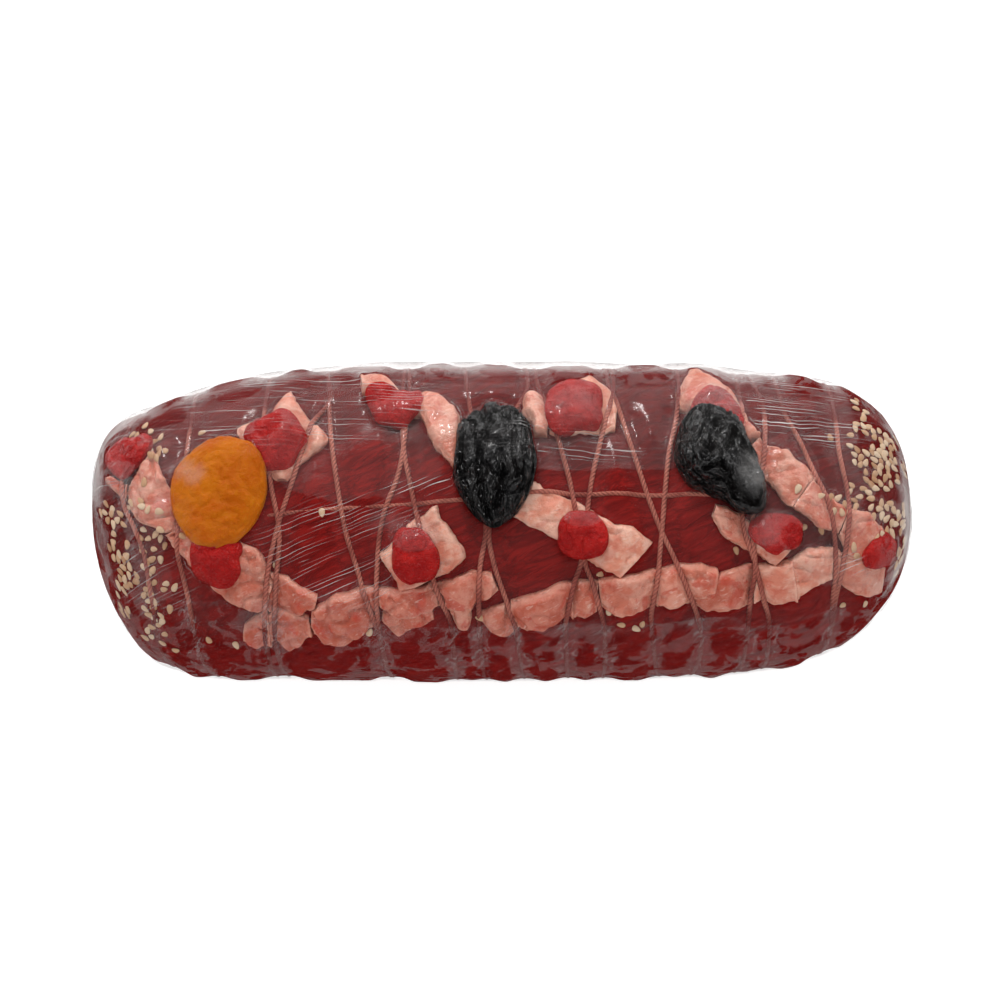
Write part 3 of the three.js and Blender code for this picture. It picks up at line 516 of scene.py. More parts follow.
def middle_z(x):
    """The middle line's height."""
    return AXIS_HEIGHT - (1 - fullness(x)) * END_DROP


def channel(x, angle):
    """How deep the twine pulls the meat in: less on the flanks, more below."""
    left = np.ones_like(x)
    away = np.abs(angle)
    start, end = DEEPER_CHANNELS
    below = np.clip((away - start) / (end - start), 0, 1)
    depth = CHANNEL_DEPTH + (CHANNEL_DEPTH_BELOW - CHANNEL_DEPTH) * below
    flank = step(*FLANK_CHANNELS, away) * (1 - step(*LOWER_CHANNELS, away))
    depth = depth * (1 - FLANK_CHANNEL_LOSS * flank)
    for route in ROUTES:
        apart = np.abs(x - smooth_through(route, angle)) / CHANNEL_HALF_WIDTH
        left = left * np.where(apart < 1, 1 - (1 - apart * apart) ** 2, 1)
    return depth * (1 - left) * np.clip((HALF_LENGTH - np.abs(x)) / CHANNEL_FADE, 0, 1)


def full_radius(x, angle):
    """How far the roast's skin is from its middle line, without channels and above the floor."""
    s = np.abs(np.sin(np.radians(angle)))
    c = np.cos(np.radians(angle))
    n = np.where(c > 0, TOP_SQUARENESS, UNDERSIDE_SQUARENESS)
    round_ = ((s / HALF_WIDTH) ** n + (np.abs(c) / HALF_HEIGHT) ** n) ** (-1 / n) * fullness(x)
    downward = np.maximum(-c, LEAST_DOWNWARD)
    to_floor = np.where(c < -LEAST_DOWNWARD, middle_z(x) / downward, FAR_AWAY)
    return np.minimum(round_, to_floor)


def radius(x, angle):
    """The same with the channels."""
    return full_radius(x, angle) - channel(x, angle)


def point_at(x, angle, r):
    """The points at distances from the middle line."""
    x, angle, r = np.broadcast_arrays(*[np.asarray(v, dtype=float) for v in (x, angle, r)])
    y = middle_y(x) - r * np.sin(np.radians(angle)) + SHIFT_Y
    z = middle_z(x) + r * np.cos(np.radians(angle))
    return np.stack([x, y, z], -1)


def place_of(points):
    """The x, angle and distance from the middle line of points."""
    x = np.clip(points[..., 0], -HALF_LENGTH, HALF_LENGTH)
    y = points[..., 1] - middle_y(x) - SHIFT_Y
    z = points[..., 2] - middle_z(x)
    return x, np.degrees(np.arctan2(-y, z)), np.hypot(y, z)


# The frame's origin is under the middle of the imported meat, a little off the middle line
meat_low, meat_high = [np.array(corner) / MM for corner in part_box("meat")]
SHIFT_Y = 0.0
widest = point_at(0.0, WIDEST_ANGLES, full_radius(np.zeros(2), WIDEST_ANGLES))
SHIFT_Y = (meat_low[1] + meat_high[1]) / 2 - widest[:, 1].mean()


def mesh_object(name, points, faces, attributes=None):
    """A smooth mesh from points in millimetres, with named values at its points."""
    mesh = bpy.data.meshes.new(name)
    points = np.asarray(points, dtype=float)
    faces = [face for face in faces if len(face)]
    mesh.from_pydata((points * MM).tolist(), [], faces)
    mesh.validate()
    for key, values in (attributes or {}).items():
        layer = mesh.attributes.new(key, "FLOAT", "POINT")
        layer.data.foreach_set("value", np.asarray(values, dtype=np.float32))
    mesh.polygons.foreach_set("use_smooth", np.ones(len(mesh.polygons), dtype=bool))
    obj = bpy.data.objects.new(name, mesh)
    bpy.context.scene.collection.objects.link(obj)
    return obj


def grid_faces(rows, columns, closed=False, first=0, flip=False):
    """Quads of a grid whose points run row by row; closed joins the last column to the first."""
    i = np.arange(rows - 1)[:, None]
    j = np.arange(columns if closed else columns - 1)[None, :]
    nj = (j + 1) % columns
    quads = [i * columns + j, i * columns + nj, (i + 1) * columns + nj, (i + 1) * columns + j]
    quads = np.stack(np.broadcast_arrays(*quads), -1).reshape(-1, 4) + first
    return (quads[:, ::-1] if flip else quads).tolist()


# Rings along the roast, closer together towards the ends
end_depths = END_ZONE * (np.arange(1, END_RINGS + 1) / END_RINGS) ** END_CLOSENESS
middle_count = int(2 * (HALF_LENGTH - END_ZONE) / MIDDLE_STEP)
middle_x = np.linspace(-HALF_LENGTH + END_ZONE, HALF_LENGTH - END_ZONE, middle_count + 1)
RING_X = np.concatenate([end_depths[:-1] - HALF_LENGTH, middle_x, (HALF_LENGTH - end_depths[:-1])[::-1]])
RING_ANGLES = -180 + 360 * np.arange(AROUND) / AROUND
GRID_X, GRID_ANGLE = [g.copy() for g in np.meshgrid(RING_X, RING_ANGLES, indexing="ij")]
GRID_FULL = full_radius(GRID_X, GRID_ANGLE)
GRID_CHANNEL = channel(GRID_X, GRID_ANGLE)


def ring_index(x):
    """The place of x among the rings, between whole numbers."""
    return np.interp(x, RING_X, np.arange(len(RING_X)))


def closed_roll(name, radii, tip_grow, attributes=None):
    """A closed roll over the rings with given radii, clear of the floor."""
    points = point_at(GRID_X, GRID_ANGLE, radii).reshape(-1, 3)
    rows, columns = GRID_X.shape
    faces = grid_faces(rows, columns, closed=True, flip=True)
    tips = []
    for side, row in ((-1, 0), (1, rows - 1)):
        x = side * (HALF_LENGTH + tip_grow)
        inner = np.array(side * HALF_LENGTH)
        tips.append([x, middle_y(inner) + SHIFT_Y, middle_z(inner)])
        tip = len(points) + len(tips) - 1
        for j in range(columns):
            a, b = row * columns + j, row * columns + (j + 1) % columns
            faces.append([a, b, tip] if side < 0 else [b, a, tip])
    points = np.concatenate([points, tips])
    points[:, 2] = np.maximum(points[:, 2], FLOOR_GAP)
    if attributes:
        attributes = {k: np.concatenate([v.reshape(-1), [0, 0]]) for k, v in attributes.items()}
    return mesh_object(name, points, faces, attributes)


# Heights above the full roll are kept on the rings' grid
def raster(points, into):
    """Raises a height grid to points that lie above it."""
    x, angle, r = place_of(points)
    row = np.rint(ring_index(x)).astype(int)
    column = np.rint((angle + 180) * AROUND / 360).astype(int) % AROUND
    height = r - GRID_FULL[row, column]
    np.maximum.at(into, (row, column), height)
    return into


def sample(grid, x, angle):
    """Values of a height grid between its points."""
    row = np.clip(ring_index(x), 0, len(RING_X) - 1.001)
    column = (np.asarray(angle) + 180) * AROUND / 360
    i, j = np.floor(row).astype(int), np.floor(column).astype(int)
    u, v = row - i, column - j
    j0, j1 = j % AROUND, (j + 1) % AROUND
    low = grid[i, j0] * (1 - v) + grid[i, j1] * v
    high = grid[i + 1, j0] * (1 - v) + grid[i + 1, j1] * v
    return low * (1 - u) + high * u


def twine_distance(x, angle):
    """Distance to the nearest turn of the string, along x."""
    away = np.full(np.shape(x), FAR_AWAY)
    for route in ROUTES:
        away = np.minimum(away, np.abs(x - smooth_through(route, angle)))
    return away


def meat_relief(points):
    """Lumps of muscle and the fine fibres that run slantwise along the roast."""
    x, y, z = points.T
    along = x * FIBRES_ALONG + y * FIBRES_ACROSS
    across = y * FIBRES_ALONG - x * FIBRES_ACROSS
    bend = noise(points, 34, 5)[:, None] * np.array([0, 5.0, 5.0])
    place = np.stack([along, across, z], -1) + bend
    fibres = noise(place, (13, 1.5, 1.5), 11)
    bundles = noise(place, (26, 4.2, 4.2), 12)
    lumps = noise(points, 21, 3) * 0.7 + noise(points, 9, 4) * 0.3
    return lumps, bundles, fibres


def build_meat(haze_and_reflection):
    """The meat, with painted shade where the film's white veil lies, and its height over the full roll."""
    base = point_at(GRID_X, GRID_ANGLE, GRID_FULL - GRID_CHANNEL).reshape(-1, 3)
    lumps, bundles, fibres = meat_relief(base)
    below = step(*MEAT_UNDERSIDE, np.abs(GRID_ANGLE)).reshape(-1)
    relief = LUMP_HEIGHT * lumps + BUNDLE_HEIGHT * bundles + FIBRE_HEIGHT * fibres - RELIEF_SUNK
    relief = (relief * (1 - below)).reshape(GRID_X.shape)
    relief = relief * np.clip((HALF_LENGTH - np.abs(GRID_X)) / RELIEF_FADE, 0, 1)
    surface = GRID_FULL - GRID_CHANNEL + relief - MEAT_INSET
    # Painted shade: the meat darkens where the film's veil lies, less on the near flank past BRIGHT_FLANK
    dim = soften(haze_and_reflection, 6) * (1 - 0.6 * step(*BRIGHT_FLANK, GRID_ANGLE))
    values = {"bundle": bundles.reshape(GRID_X.shape), "dim": dim}
    return closed_roll("lean_meat", surface, -TIP_INSET, values), surface - GRID_FULL


# Millimetres round the roast for a degree, near its ridge
MM_A_DEGREE = 0.85


def run_along(points):
    """How far each point of a line is along it."""
    return np.concatenate([[0], np.cumsum(np.linalg.norm(np.diff(points, axis=0), axis=1))])


def between(stops, keys, rows):
    """Each column of rows, read between its keys at the stops."""
    return np.stack([np.interp(stops, keys, column) for column in rows.T], -1)


def along_line(points, count):
    """Evenly spaced points of a line through [x, angle] points."""
    points = np.array(points, dtype=float)
    run = run_along(points * [1, MM_A_DEGREE])
    return between(np.linspace(0, run[-1], count), run, points)


def distance_to_outline(points, outline):
    """The distance of flat points to a closed outline."""
    a = outline
    b = np.roll(outline, -1, 0)
    edge = b - a
    length = np.maximum((edge**2).sum(1), 1e-9)
    t = np.einsum("pkc,kc->pk", points[:, None, :] - a[None], edge) / length[None]
    nearest = a[None] + np.clip(t, 0, 1)[..., None] * edge[None]
    return np.linalg.norm(points[:, None, :] - nearest, axis=2).min(1)


# Millimetres on the flattened roast for a millimetre along it and for a degree round it
FLAT_SCALE = np.array([1.0, math.radians(1) * 47])


def ease(count, power=1.6):
    """Shares from 0 to 1, closer together at both ends."""
    t = np.linspace(-1, 1, count)
    return 0.5 + 0.5 * np.sign(t) * (1 - (1 - np.abs(t)) ** power)


def waves(edge, size, height, seed):
    """Waves along and across the roast at the places of an edge."""
    places = np.column_stack([edge, np.zeros(len(edge))])
    return np.stack([noise(places, size, seed), noise(places, size, seed + 1)], -1) * height


def wavy_edges(edges):
    """The edges of a piece of fat with waves that depend only on the place, so neighbours still meet."""
    lines = [along_line(edge, FAT_EDGE_POINTS) for edge in edges]
    return [line + waves(line, *COARSE_WAVES) + waves(line, *FINE_WAVES) for line in lines]


def fat_outline(edges):
    far, near = wavy_edges(edges)
    return np.concatenate([far, near[::-1]])


def fat_grid(edges):
    """Places across a piece of fat as [x, angle], closer together at its edges."""
    keys = np.linspace(0, 1, FAT_EDGE_POINTS)
    far_row, near_row = [between(ease(FAT_ROWS), keys, edge) for edge in wavy_edges(edges)]
    v = ease(FAT_ACROSS)
    return far_row[:, None] * (1 - v)[None, :, None] + near_row[:, None] * v[None, :, None]


def free_edge(outline, others):
    """The points of an outline that aren't against another piece."""
    away = np.full(len(outline), FAR_AWAY)
    for other in others:
        away = np.minimum(away, distance_to_outline(outline, other))
    free = outline[away > FAT_TOUCHING]
    return free if len(free) > 8 else outline


def arch(share):
    """A quarter round from 0 at share 0 to 1 at share 1 and beyond."""
    return np.sqrt(1 - (1 - np.clip(share, 0, 1)) ** 2)


def fat_shape(edges, order, others, rough):
    """The skin of a slab of fat as a closed grid of points, with how far each is from the outline."""
    place = fat_grid(edges)
    flat_place = (place * FLAT_SCALE).reshape(-1, 2)
    outline = fat_outline(edges) * FLAT_SCALE
    x, angle = place[..., 0], place[..., 1]
    own = distance_to_outline(flat_place, outline).reshape(x.shape)
    free = free_edge(outline, others)
    open_side = np.linalg.norm(flat_place[:, None, :] - free[None], axis=2).min(1).reshape(x.shape)
    flat = point_at(x, angle, radius(x, angle)).reshape(-1, 3) + order * 37.0
    shoulder = FAT_SHOULDER + 0.5 * noise(flat, 7, 26).reshape(x.shape)
    rounding = np.minimum(arch(open_side / shoulder), JOINED_EDGE + (1 - JOINED_EDGE) * arch(own))
    lumps = noise(flat, 9, 27) * 0.45 + noise(flat, 3.4, 28) * 0.45 + noise(flat, 1.7, 30) * 0.08
    lumps *= 0.5 + 0.5 * rough
    folds = step(0.76, 1.0, ridges(flat, (6.5, 3.8, 6.5), 29)) * FAT_CREASE * rough
    press = np.exp(-((twine_distance(x, angle) / DENT_WIDTH) ** 2)) * DENT_DEPTH
    thick = FAT_THICKNESS * (0.85 + 0.25 * math.sin(order * 2.4))
    top = (thick + (lumps - folds).reshape(x.shape) - press) * rounding
    upper = point_at(x, angle, radius(x, angle) + np.maximum(top, 0.15 * rounding))
    lower = point_at(x, angle, radius(x, angle) - FAT_INTO_MEAT)
    ring = np.concatenate([upper, lower[:, ::-1]], 1)
    return ring.reshape(-1, 3), FAT_ROWS, 2 * FAT_ACROSS, np.concatenate([own, own[:, ::-1]], 1)


def tube_mesh(name, points, rows, columns, attributes=None):
    """A closed skin over rings of points, with its two ends filled."""
    faces = grid_faces(rows, columns, closed=True)
    for row in (0, rows - 1):
        first = row * columns
        half = columns // 2
        for k in range(half - 1):
            faces.append([first + k, first + k + 1, first + columns - 2 - k, first + columns - 1 - k])
    return outward(mesh_object(name, points, faces, attributes))


def outward(obj):
    """Turns a closed mesh's faces outwards."""
    mesh = obj.data
    mesh.calc_loop_triangles()
    co = np.empty(len(mesh.vertices) * 3)
    mesh.vertices.foreach_get("co", co)
    co = co.reshape(-1, 3)
    triangles = np.empty(len(mesh.loop_triangles) * 3, dtype=np.int32)
    mesh.loop_triangles.foreach_get("vertices", triangles)
    a, b, c = (co[triangles.reshape(-1, 3)[:, k]] for k in range(3))
    middle = co.mean(0)
    if np.einsum("ij,ij->i", a - middle, np.cross(b - middle, c - middle)).sum() < 0:
        mesh.flip_normals()
    return obj


def fill_holes(grid, ground):
    """Points that a raster missed take their neighbours' middle value."""
    around = np.stack([np.roll(grid, 1, 0), np.roll(grid, -1, 0), np.roll(grid, 1, 1), np.roll(grid, -1, 1)])
    middle = np.sort(around, 0)[1:3].mean(0)
    missed = (grid - ground < 0.3) & (middle - ground > 0.5)
    return np.where(missed, middle, grid)


def soften(grid, passes):
    """A height grid smoothed over about the square root of the passes, in grid steps."""
    for _ in range(passes):
        padded = np.pad(grid, ((1, 1), (0, 0)), mode="edge")
        grid = (padded[:-2] + 2 * grid + padded[2:]) / 4
        grid = (np.roll(grid, 1, 1) + 2 * grid + np.roll(grid, -1, 1)) / 4
    return grid


def build_fat(ground):
    """The pieces of fat, and the heights with them."""
    pieces = {}
    raised = ground.copy()
    outlines = {name: fat_outline(edges) * FLAT_SCALE for name, edges in FAT.items()}
    for order, (name, edges) in enumerate(FAT.items()):
        rough = ROUGH_FAT if "row" in name or "left" in name else SMOOTH_FAT
        others = [outline for other, outline in outlines.items() if other != name]
        points, rows, columns, inside = fat_shape(edges, order, others, rough)
        obj_name = name.replace("fat_", "soft_fat_")
        tone = np.full(inside.size, FAT_TONES.get(name, FAT_TONE))
        values = {"inside": inside.reshape(-1), "tone": tone}
        pieces[name] = tube_mesh(obj_name, points, rows, columns, values)
        raster(points, raised)
    return pieces, fill_holes(raised, ground)


def reach(outline, bearing):
    """The reach of an outline at a bearing."""
    rows = sorted([math.degrees(math.atan2(y, x)) % 360, math.hypot(x, y)] for x, y in outline)
    table = [[rows[-1][0] - 360, rows[-1][1]], *rows, [rows[0][0] + 360, rows[0][1]]]
    return smooth_through(table, np.degrees(bearing) % 360)


def crease_depth(lines, places):
    """How deep creases along lines of points cut at places."""
    total = np.zeros(len(places))
    for line in lines:
        line = np.array(line, dtype=float)
        for a, b in zip(line[:-1], line[1:]):
            edge = b - a
            t = np.clip((places - a) @ edge / (edge @ edge), 0, 1)
            away = np.linalg.norm(places - a - t[:, None] * edge, axis=1)
            total = np.maximum(total, CREASE_DEPTH * np.exp(-((away / CREASE_WIDTH) ** 2)))
    return total


def fruit_relief(kind, unit, flat):
    """Swelling as a share of the size, and crease depth in millimetres."""
    if kind == "prune":
        bend = np.stack([noise(flat, 5, 44), noise(flat, 5, 45), noise(flat, 5, 46)], -1) * 2.4
        folds = step(0.74, 1, ridges(flat + bend, (4.2, 7, 4.2), 33)) * PRUNE_FOLD
        wrinkles = step(0.68, 1, ridges(flat + bend, (2.1, 3.2, 2.1), 34)) * PRUNE_WRINKLE
        return 0.055 * noise(unit, 0.36, 32), folds + wrinkles + 0.2 * noise(flat, 1.1, 35)
    if kind == "apricot":
        dent = APRICOT_DENT * np.exp(-((np.hypot(unit[:, 0] - 0.1, unit[:, 1] + 0.05) / 0.45) ** 2))
        near_rim = step(0.75, 1.0, np.hypot(unit[:, 0], unit[:, 1]))
        rim = near_rim * step(0.55, 1, ridges(flat, 3.2, 36)) * APRICOT_RIM
        uneven = 0.35 * noise(flat, 6, 38) + 0.12 * noise(flat, 1.8, 39)
        return 0.02 * noise(unit, 0.3, 37), dent + rim + uneven
    wrinkles = step(0.8, 1, ridges(flat, (4.2, 5.5, 4.2), 42)) * RED_WRINKLE
    uneven = 0.45 * noise(flat, 4.5, 47) + 0.3 * noise(flat, 2.2, 43)
    return 0.04 * noise(unit, 0.5, 40) + 0.035 * noise(unit, 0.25, 41), wrinkles + uneven


def fruit_shape(name, fruit, support, seed):
    """A soft fruit whose rim tucks in onto what lies under it."""
    kind, x0, angle0, height = fruit
    rows, columns = PRUNE_GRID if kind == "prune" else FRUIT_GRID
    polar = np.linspace(0.0, 1, rows) * np.radians(FRUIT_SKIN_END)
    bearing = np.linspace(0, 2 * np.pi, columns, endpoint=False)
    polar, bearing = np.meshgrid(polar, bearing, indexing="ij")
    spread = np.sin(polar) ** (RED_SPREAD_POWER if kind == "red_fruit" else SPREAD_POWER)
    unit = np.stack([spread * np.cos(bearing), spread * np.sin(bearing), np.cos(polar)], -1)
    size = reach(OUTLINES[name], bearing)
    flat = (unit * np.stack([size, size, np.full_like(size, height)], -1)).reshape(-1, 3) + seed * 53.0
    swell, creases = fruit_relief(kind, unit.reshape(-1, 3) + seed * 7.0, flat)
    if name in PRUNE_CREASES:
        creases = creases + crease_depth(PRUNE_CREASES[name], unit.reshape(-1, 3)[:, :2])
    swell, creases = swell.reshape(polar.shape), creases.reshape(polar.shape)
    r = full_radius(np.array(float(x0)), np.array(float(angle0)))
    px = x0 + unit[..., 0] * size * (1 + swell)
    pa = angle0 + np.degrees(unit[..., 1] * size * (1 + swell) / r)
    upright = np.sign(unit[..., 2]) * np.abs(unit[..., 2]) ** UPRIGHT_POWER
    lowest = -abs(math.cos(math.radians(FRUIT_SKIN_END))) ** UPRIGHT_POWER
    share = (upright - lowest) / (1 - lowest)
    above = sample(support, px, pa) - FRUIT_SUNK + height * share - creases * np.clip(share * 3, 0, 1)
    points = point_at(px, pa, full_radius(px, pa) + above)
    return points.reshape(-1, 3), rows, columns, creases


def build_fruits(support):
    """The fruits, each a dome over a softened ground, and where each kind of them lies."""
    pieces = {}
    masks = {fruit[0]: np.zeros(GRID_X.shape) for fruit in FRUITS.values()}
    raised = support.copy()
    soft = soften(support, 30)
    for seed, (name, fruit) in enumerate(FRUITS.items()):
        points, rows, columns, creases = fruit_shape(name, fruit, soft, seed)
        bottom = points[-columns:].mean(0)
        faces = grid_faces(rows, columns, closed=True)
        base = len(points)
        first = (rows - 1) * columns
        faces += [[first + k, first + (k + 1) % columns, base] for k in range(columns)]
        values = {"crease": np.append(creases.reshape(-1), 0)}
        pieces[name] = outward(mesh_object("soft_" + name, np.vstack([points, bottom]), faces, values))
        before = raised.copy()
        raster(points, raised)
        masks[fruit[0]] = np.maximum(masks[fruit[0]], (raised - before > 0.3).astype(float))
    return pieces, fill_holes(raised, support), {kind: soften(mask, 2) for kind, mask in masks.items()}


def tight_string(heights, passes=40):
    """Heights of a string pulled tight over a ground."""
    tight = heights.copy()
    for _ in range(passes):
        tight[1:-1] = np.maximum(heights[1:-1], (tight[:-2] + tight[2:]) / 2)
    return tight


def string_path(x, angle, support, lift):
    """Evenly spaced points of a string that lies on the support, with how stained it is."""
    height = tight_string(sample(support, x, angle))
    sunk = np.where(angle > 0, step(*NEAR_SINK, angle), step(*FAR_SINK, -angle))
    raised = height + TWINE_RADIUS * (lift - FLANK_SINK * sunk)
    points = point_at(x, angle, full_radius(x, angle) + raised)
    points[:, 2] = np.maximum(points[:, 2], TWINE_RADIUS + 0.1)
    stain = np.clip(0.12 + 0.2 * step(*STAINED_SIDE, angle) + 0.8 * sunk, 0, 1)
    run = run_along(points)
    stops = np.arange(0, run[-1], TWINE_STEP)
    return between(stops, run, points), np.interp(stops, run, stain)


def round_string(path, stain, sides=8):
    """Points, faces and values of a round string along a path; the values lead round and along it."""
    along = np.gradient(path, axis=0)
    along /= np.linalg.norm(along, axis=1)[:, None]
    centre = np.stack([path[:, 0], middle_y(path[:, 0]) + SHIFT_Y, middle_z(path[:, 0])], -1)
    across = np.cross(along, path - centre)
    across /= np.linalg.norm(across, axis=1)[:, None]
    up = np.cross(across, along)
    ring = np.linspace(0, 2 * np.pi, sides, endpoint=False)
    c, s = np.cos(ring)[None, :], np.sin(ring)[None, :]
    fuzz = 1 + 0.06 * noise(path, 2.4, 51)
    out = c[..., None] * across[:, None, :] + s[..., None] * up[:, None, :]
    points = path[:, None, :] + TWINE_RADIUS * fuzz[:, None, None] * out
    faces = grid_faces(len(path), sides, closed=True, flip=True)
    last = (len(path) - 1) * sides
    faces += [list(range(sides)), [last + k for k in range(sides)][::-1]]
    shape = (len(path), sides)
    values = {
        "round_x": np.broadcast_to(c, shape), "round_y": np.broadcast_to(s, shape),
        "along": np.broadcast_to((np.arange(len(path)) * TWINE_STEP)[:, None], shape),
        "stain": np.broadcast_to(stain[:, None], shape),
    }
    return points.reshape(-1, 3), faces, {key: value.reshape(-1) for key, value in values.items()}


def build_twine(support):
    """The whole winding as one string, and the strand along the ridge."""
    angles = np.linspace(-180, 180, TURN_STEPS)[:-1]
    xs = np.concatenate([smooth_through(route, angles) for route in ROUTES])
    turns = np.tile(angles, len(ROUTES))
    ridge_x = np.linspace(RIDGE_STRAND[0][0], RIDGE_STRAND[-1][0], STRAND_STEPS)
    winding = string_path(xs, turns, support, TURN_LIFT)
    lift = STRAND_LIFT - LEFT_STRAND_SINK * step(*LEFT_STRAND, -ridge_x)
    strand = string_path(ridge_x, smooth_through(RIDGE_STRAND, ridge_x), support, lift)
    points, faces, values = [], [], []
    for path, stain in (winding, strand):
        more, quads, extra = round_string(path, stain)
        first = sum(len(p) for p in points)
        points.append(more)
        values.append(extra)
        faces += [[first + k for k in face] for face in quads]
    points = np.concatenate(points)
    values = {key: np.concatenate([extra[key] for extra in values]) for key in values[0]}
    return outward(mesh_object("twisted_twine", points, faces, values)), points


def seed_skin(rows=8, columns=10):
    """Points of one drop-shaped seed, one long half size along x."""
    polar = np.linspace(0.1, np.pi - 0.1, rows)
    bearing = np.linspace(0, 2 * np.pi, columns, endpoint=False)
    polar, bearing = np.meshgrid(polar, bearing, indexing="ij")
    along = np.cos(polar)
    belly = np.sin(polar) ** 0.9 * (1 - 0.34 * along)
    wide, thick = belly * np.cos(bearing) * SEED_WIDE, belly * np.sin(bearing) * SEED_THICK
    return np.stack([along * SEED_LONG, wide, thick], -1)


def seed_places(rng):
    """Places of the seeds, each clear of the others."""
    places = [tuple(p) for p in STRAY_SEEDS]
    for x, angle, reach_x, reach_angle, count in SEED_PATCHES:
        made = 0
        for _ in range(count * SEED_TRIES):
            if made == count:
                break
            spot = rng.uniform(-SEED_SPREAD, SEED_SPREAD, 2)
            sx, sa = x + spot[0] * reach_x, angle + spot[1] * reach_angle
            gap = min(math.hypot(sx - px, (sa - pa) * 0.75) for px, pa in places)
            if gap > SEEDS_APART and abs(sx) < HALF_LENGTH - SEED_EDGE:
                places.append((sx, sa))
                made += 1
    return places


def build_seeds(support):
    """All seeds as one mesh, lying flat on what is under them."""
    rng = np.random.default_rng(7)
    places = seed_places(rng)
    skin = seed_skin()
    rows, columns = skin.shape[:2]
    points, faces, tints = [], [], []
    for k, (sx, sa) in enumerate(places):
        local = skin.reshape(-1, 3) * rng.uniform(0.88, 1.08)
        heading = rng.uniform(0, 2 * np.pi)
        local[:, 2] += local[:, 0] * rng.normal(0, 0.1)
        r = float(full_radius(np.array(float(sx)), np.array(float(sa))))
        px = sx + local[:, 0] * math.cos(heading) - local[:, 1] * math.sin(heading)
        turn = local[:, 0] * math.sin(heading) + local[:, 1] * math.cos(heading)
        px = np.clip(px, -HALF_LENGTH + 0.5, HALF_LENGTH - 0.5)
        pa = sa + np.degrees(turn / max(r, 14))
        bed = float(sample(support, np.array([sx]), np.array([sa]))[0])
        points.append(point_at(px, pa, full_radius(px, pa) + bed + local[:, 2] + SEED_THICK * 0.6))
        first = k * rows * columns
        faces += grid_faces(rows, columns, closed=True, first=first)
        faces += [[first + c for c in range(columns)][::-1]]
        faces += [[first + (rows - 1) * columns + c for c in range(columns)]]
        tints.append(np.full(rows * columns, rng.uniform(0, 1)))
    points = np.concatenate(points)
    return outward(mesh_object("sesame_seeds", points, faces, {"tint": np.concatenate(tints)})), points


def film_haze_and_reflection():
    """Where the film's white, partly its own haze and partly a painted reflection, hides the colours below,
    from 0 to 1, and where it does so in blotches.
    """
    ends = smooth_through(FAR_VEIL_END, GRID_X.reshape(-1)).reshape(GRID_X.shape)
    base = point_at(GRID_X, GRID_ANGLE, GRID_FULL).reshape(-1, 3)
    waver = noise(base, 14, 62).reshape(GRID_X.shape)
    sway = np.where(np.abs(GRID_X - STRAIGHT_VEIL_MIDDLE) < STRAIGHT_VEIL_REACH, 0.4, 4)
    far = 1 - step(-1.2, 1.2, GRID_ANGLE - ends - waver * sway)
    start = FLANK_VEIL_START - FLANK_VEIL_LEFT_DROP * step(*LEFT_FLANK, -GRID_X)
    flank = step(-3, 5, GRID_ANGLE - start - 4 * waver)
    rear = step(*REAR_FLANK, -GRID_ANGLE)
    tips = step(*BLOTCHY_TIPS, np.abs(GRID_X))
    return np.maximum(far, flank), np.maximum(np.maximum(flank, rear), tips)


def spots(table, core=0.5, edge=1.5):
    """Rounded spots over the rings, at full strength in their core and fading to nothing at their edge."""
    field = np.zeros(GRID_X.shape)
    for x, angle, reach_x, reach_angle, strength in table:
        away = np.hypot((GRID_X - x) / reach_x, (GRID_ANGLE - angle) / reach_angle)
        field = np.maximum(field, strength * (1 - step(core, edge, away)))
    return field


def film_slack(masks):
    """How freely the film spans hollows: well on the upper flanks and the ends, hardly on the fruits."""
    away = np.abs(GRID_ANGLE)
    sides = step(*SLACK_SIDES, away) * (1 - 0.75 * step(*TIGHT_FLANKS, away))
    tips = step(*SLACK_TIPS, np.abs(GRID_X))
    slack = LEAST_SLACK + (1 - LEAST_SLACK) * np.maximum(sides, tips)
    return slack * (1 - 0.95 * np.maximum(masks["prune"], 0.8 * masks["red_fruit"]))


def film_values(gap, haze_and_reflection, flank, masks):
    """What the film's material needs to know at each point."""
    below = step(*FILM_UNDERSIDE, np.abs(GRID_ANGLE))
    fruits = np.maximum(masks["apricot"], masks["red_fruit"])
    return {
        "gap": gap * (1 - 0.8 * step(*NEAR_FLANK_GAPS, GRID_ANGLE)),
        "haze_and_reflection": np.maximum(haze_and_reflection, spots(HAZY_SPOTS)) * (1 - below),
        "flank": flank,
        "wet": spots(WET_SPOTS),
        "pale": spots(PAINTED_GLARE_SPOTS),
        "rising": spots(RISING_FOLDS, FOLD_CORE, FOLD_EDGE) * (1 - fruits),
        "level": spots(LEVEL_FOLDS, FOLD_CORE, FOLD_EDGE) * (1 - masks["apricot"]),
        "bare": np.maximum(0.7 * masks["prune"], 0.85 * masks["apricot"]),
        "cling": step(1, 5, twine_distance(GRID_X, GRID_ANGLE)),
    }


def build_film(ground, haze_and_reflection, flank, masks):
    """The film, pulled tight over everything."""
    obstacle = ground + FILM_GAP
    tight = obstacle.astype(np.float32)
    floor = tight.copy()
    for _ in range(FILM_PASSES):
        padded = np.pad(tight, ((1, 1), (0, 0)), mode="edge")
        mean = (padded[:-2] + padded[2:] + np.roll(tight, 1, 1) + np.roll(tight, -1, 1)) / 4
        tight = np.maximum(floor, mean)
    tight = obstacle + (tight - obstacle) * film_slack(masks)
    below = step(*FILM_UNDERSIDE, np.abs(GRID_ANGLE))
    tight = tight * (1 - below) + np.minimum(tight, FILM_BELOW) * below
    values = film_values(tight - ground, haze_and_reflection, flank, masks)
    return closed_roll("cling_film", GRID_FULL + tight, FILM_TIP_GROW, values)


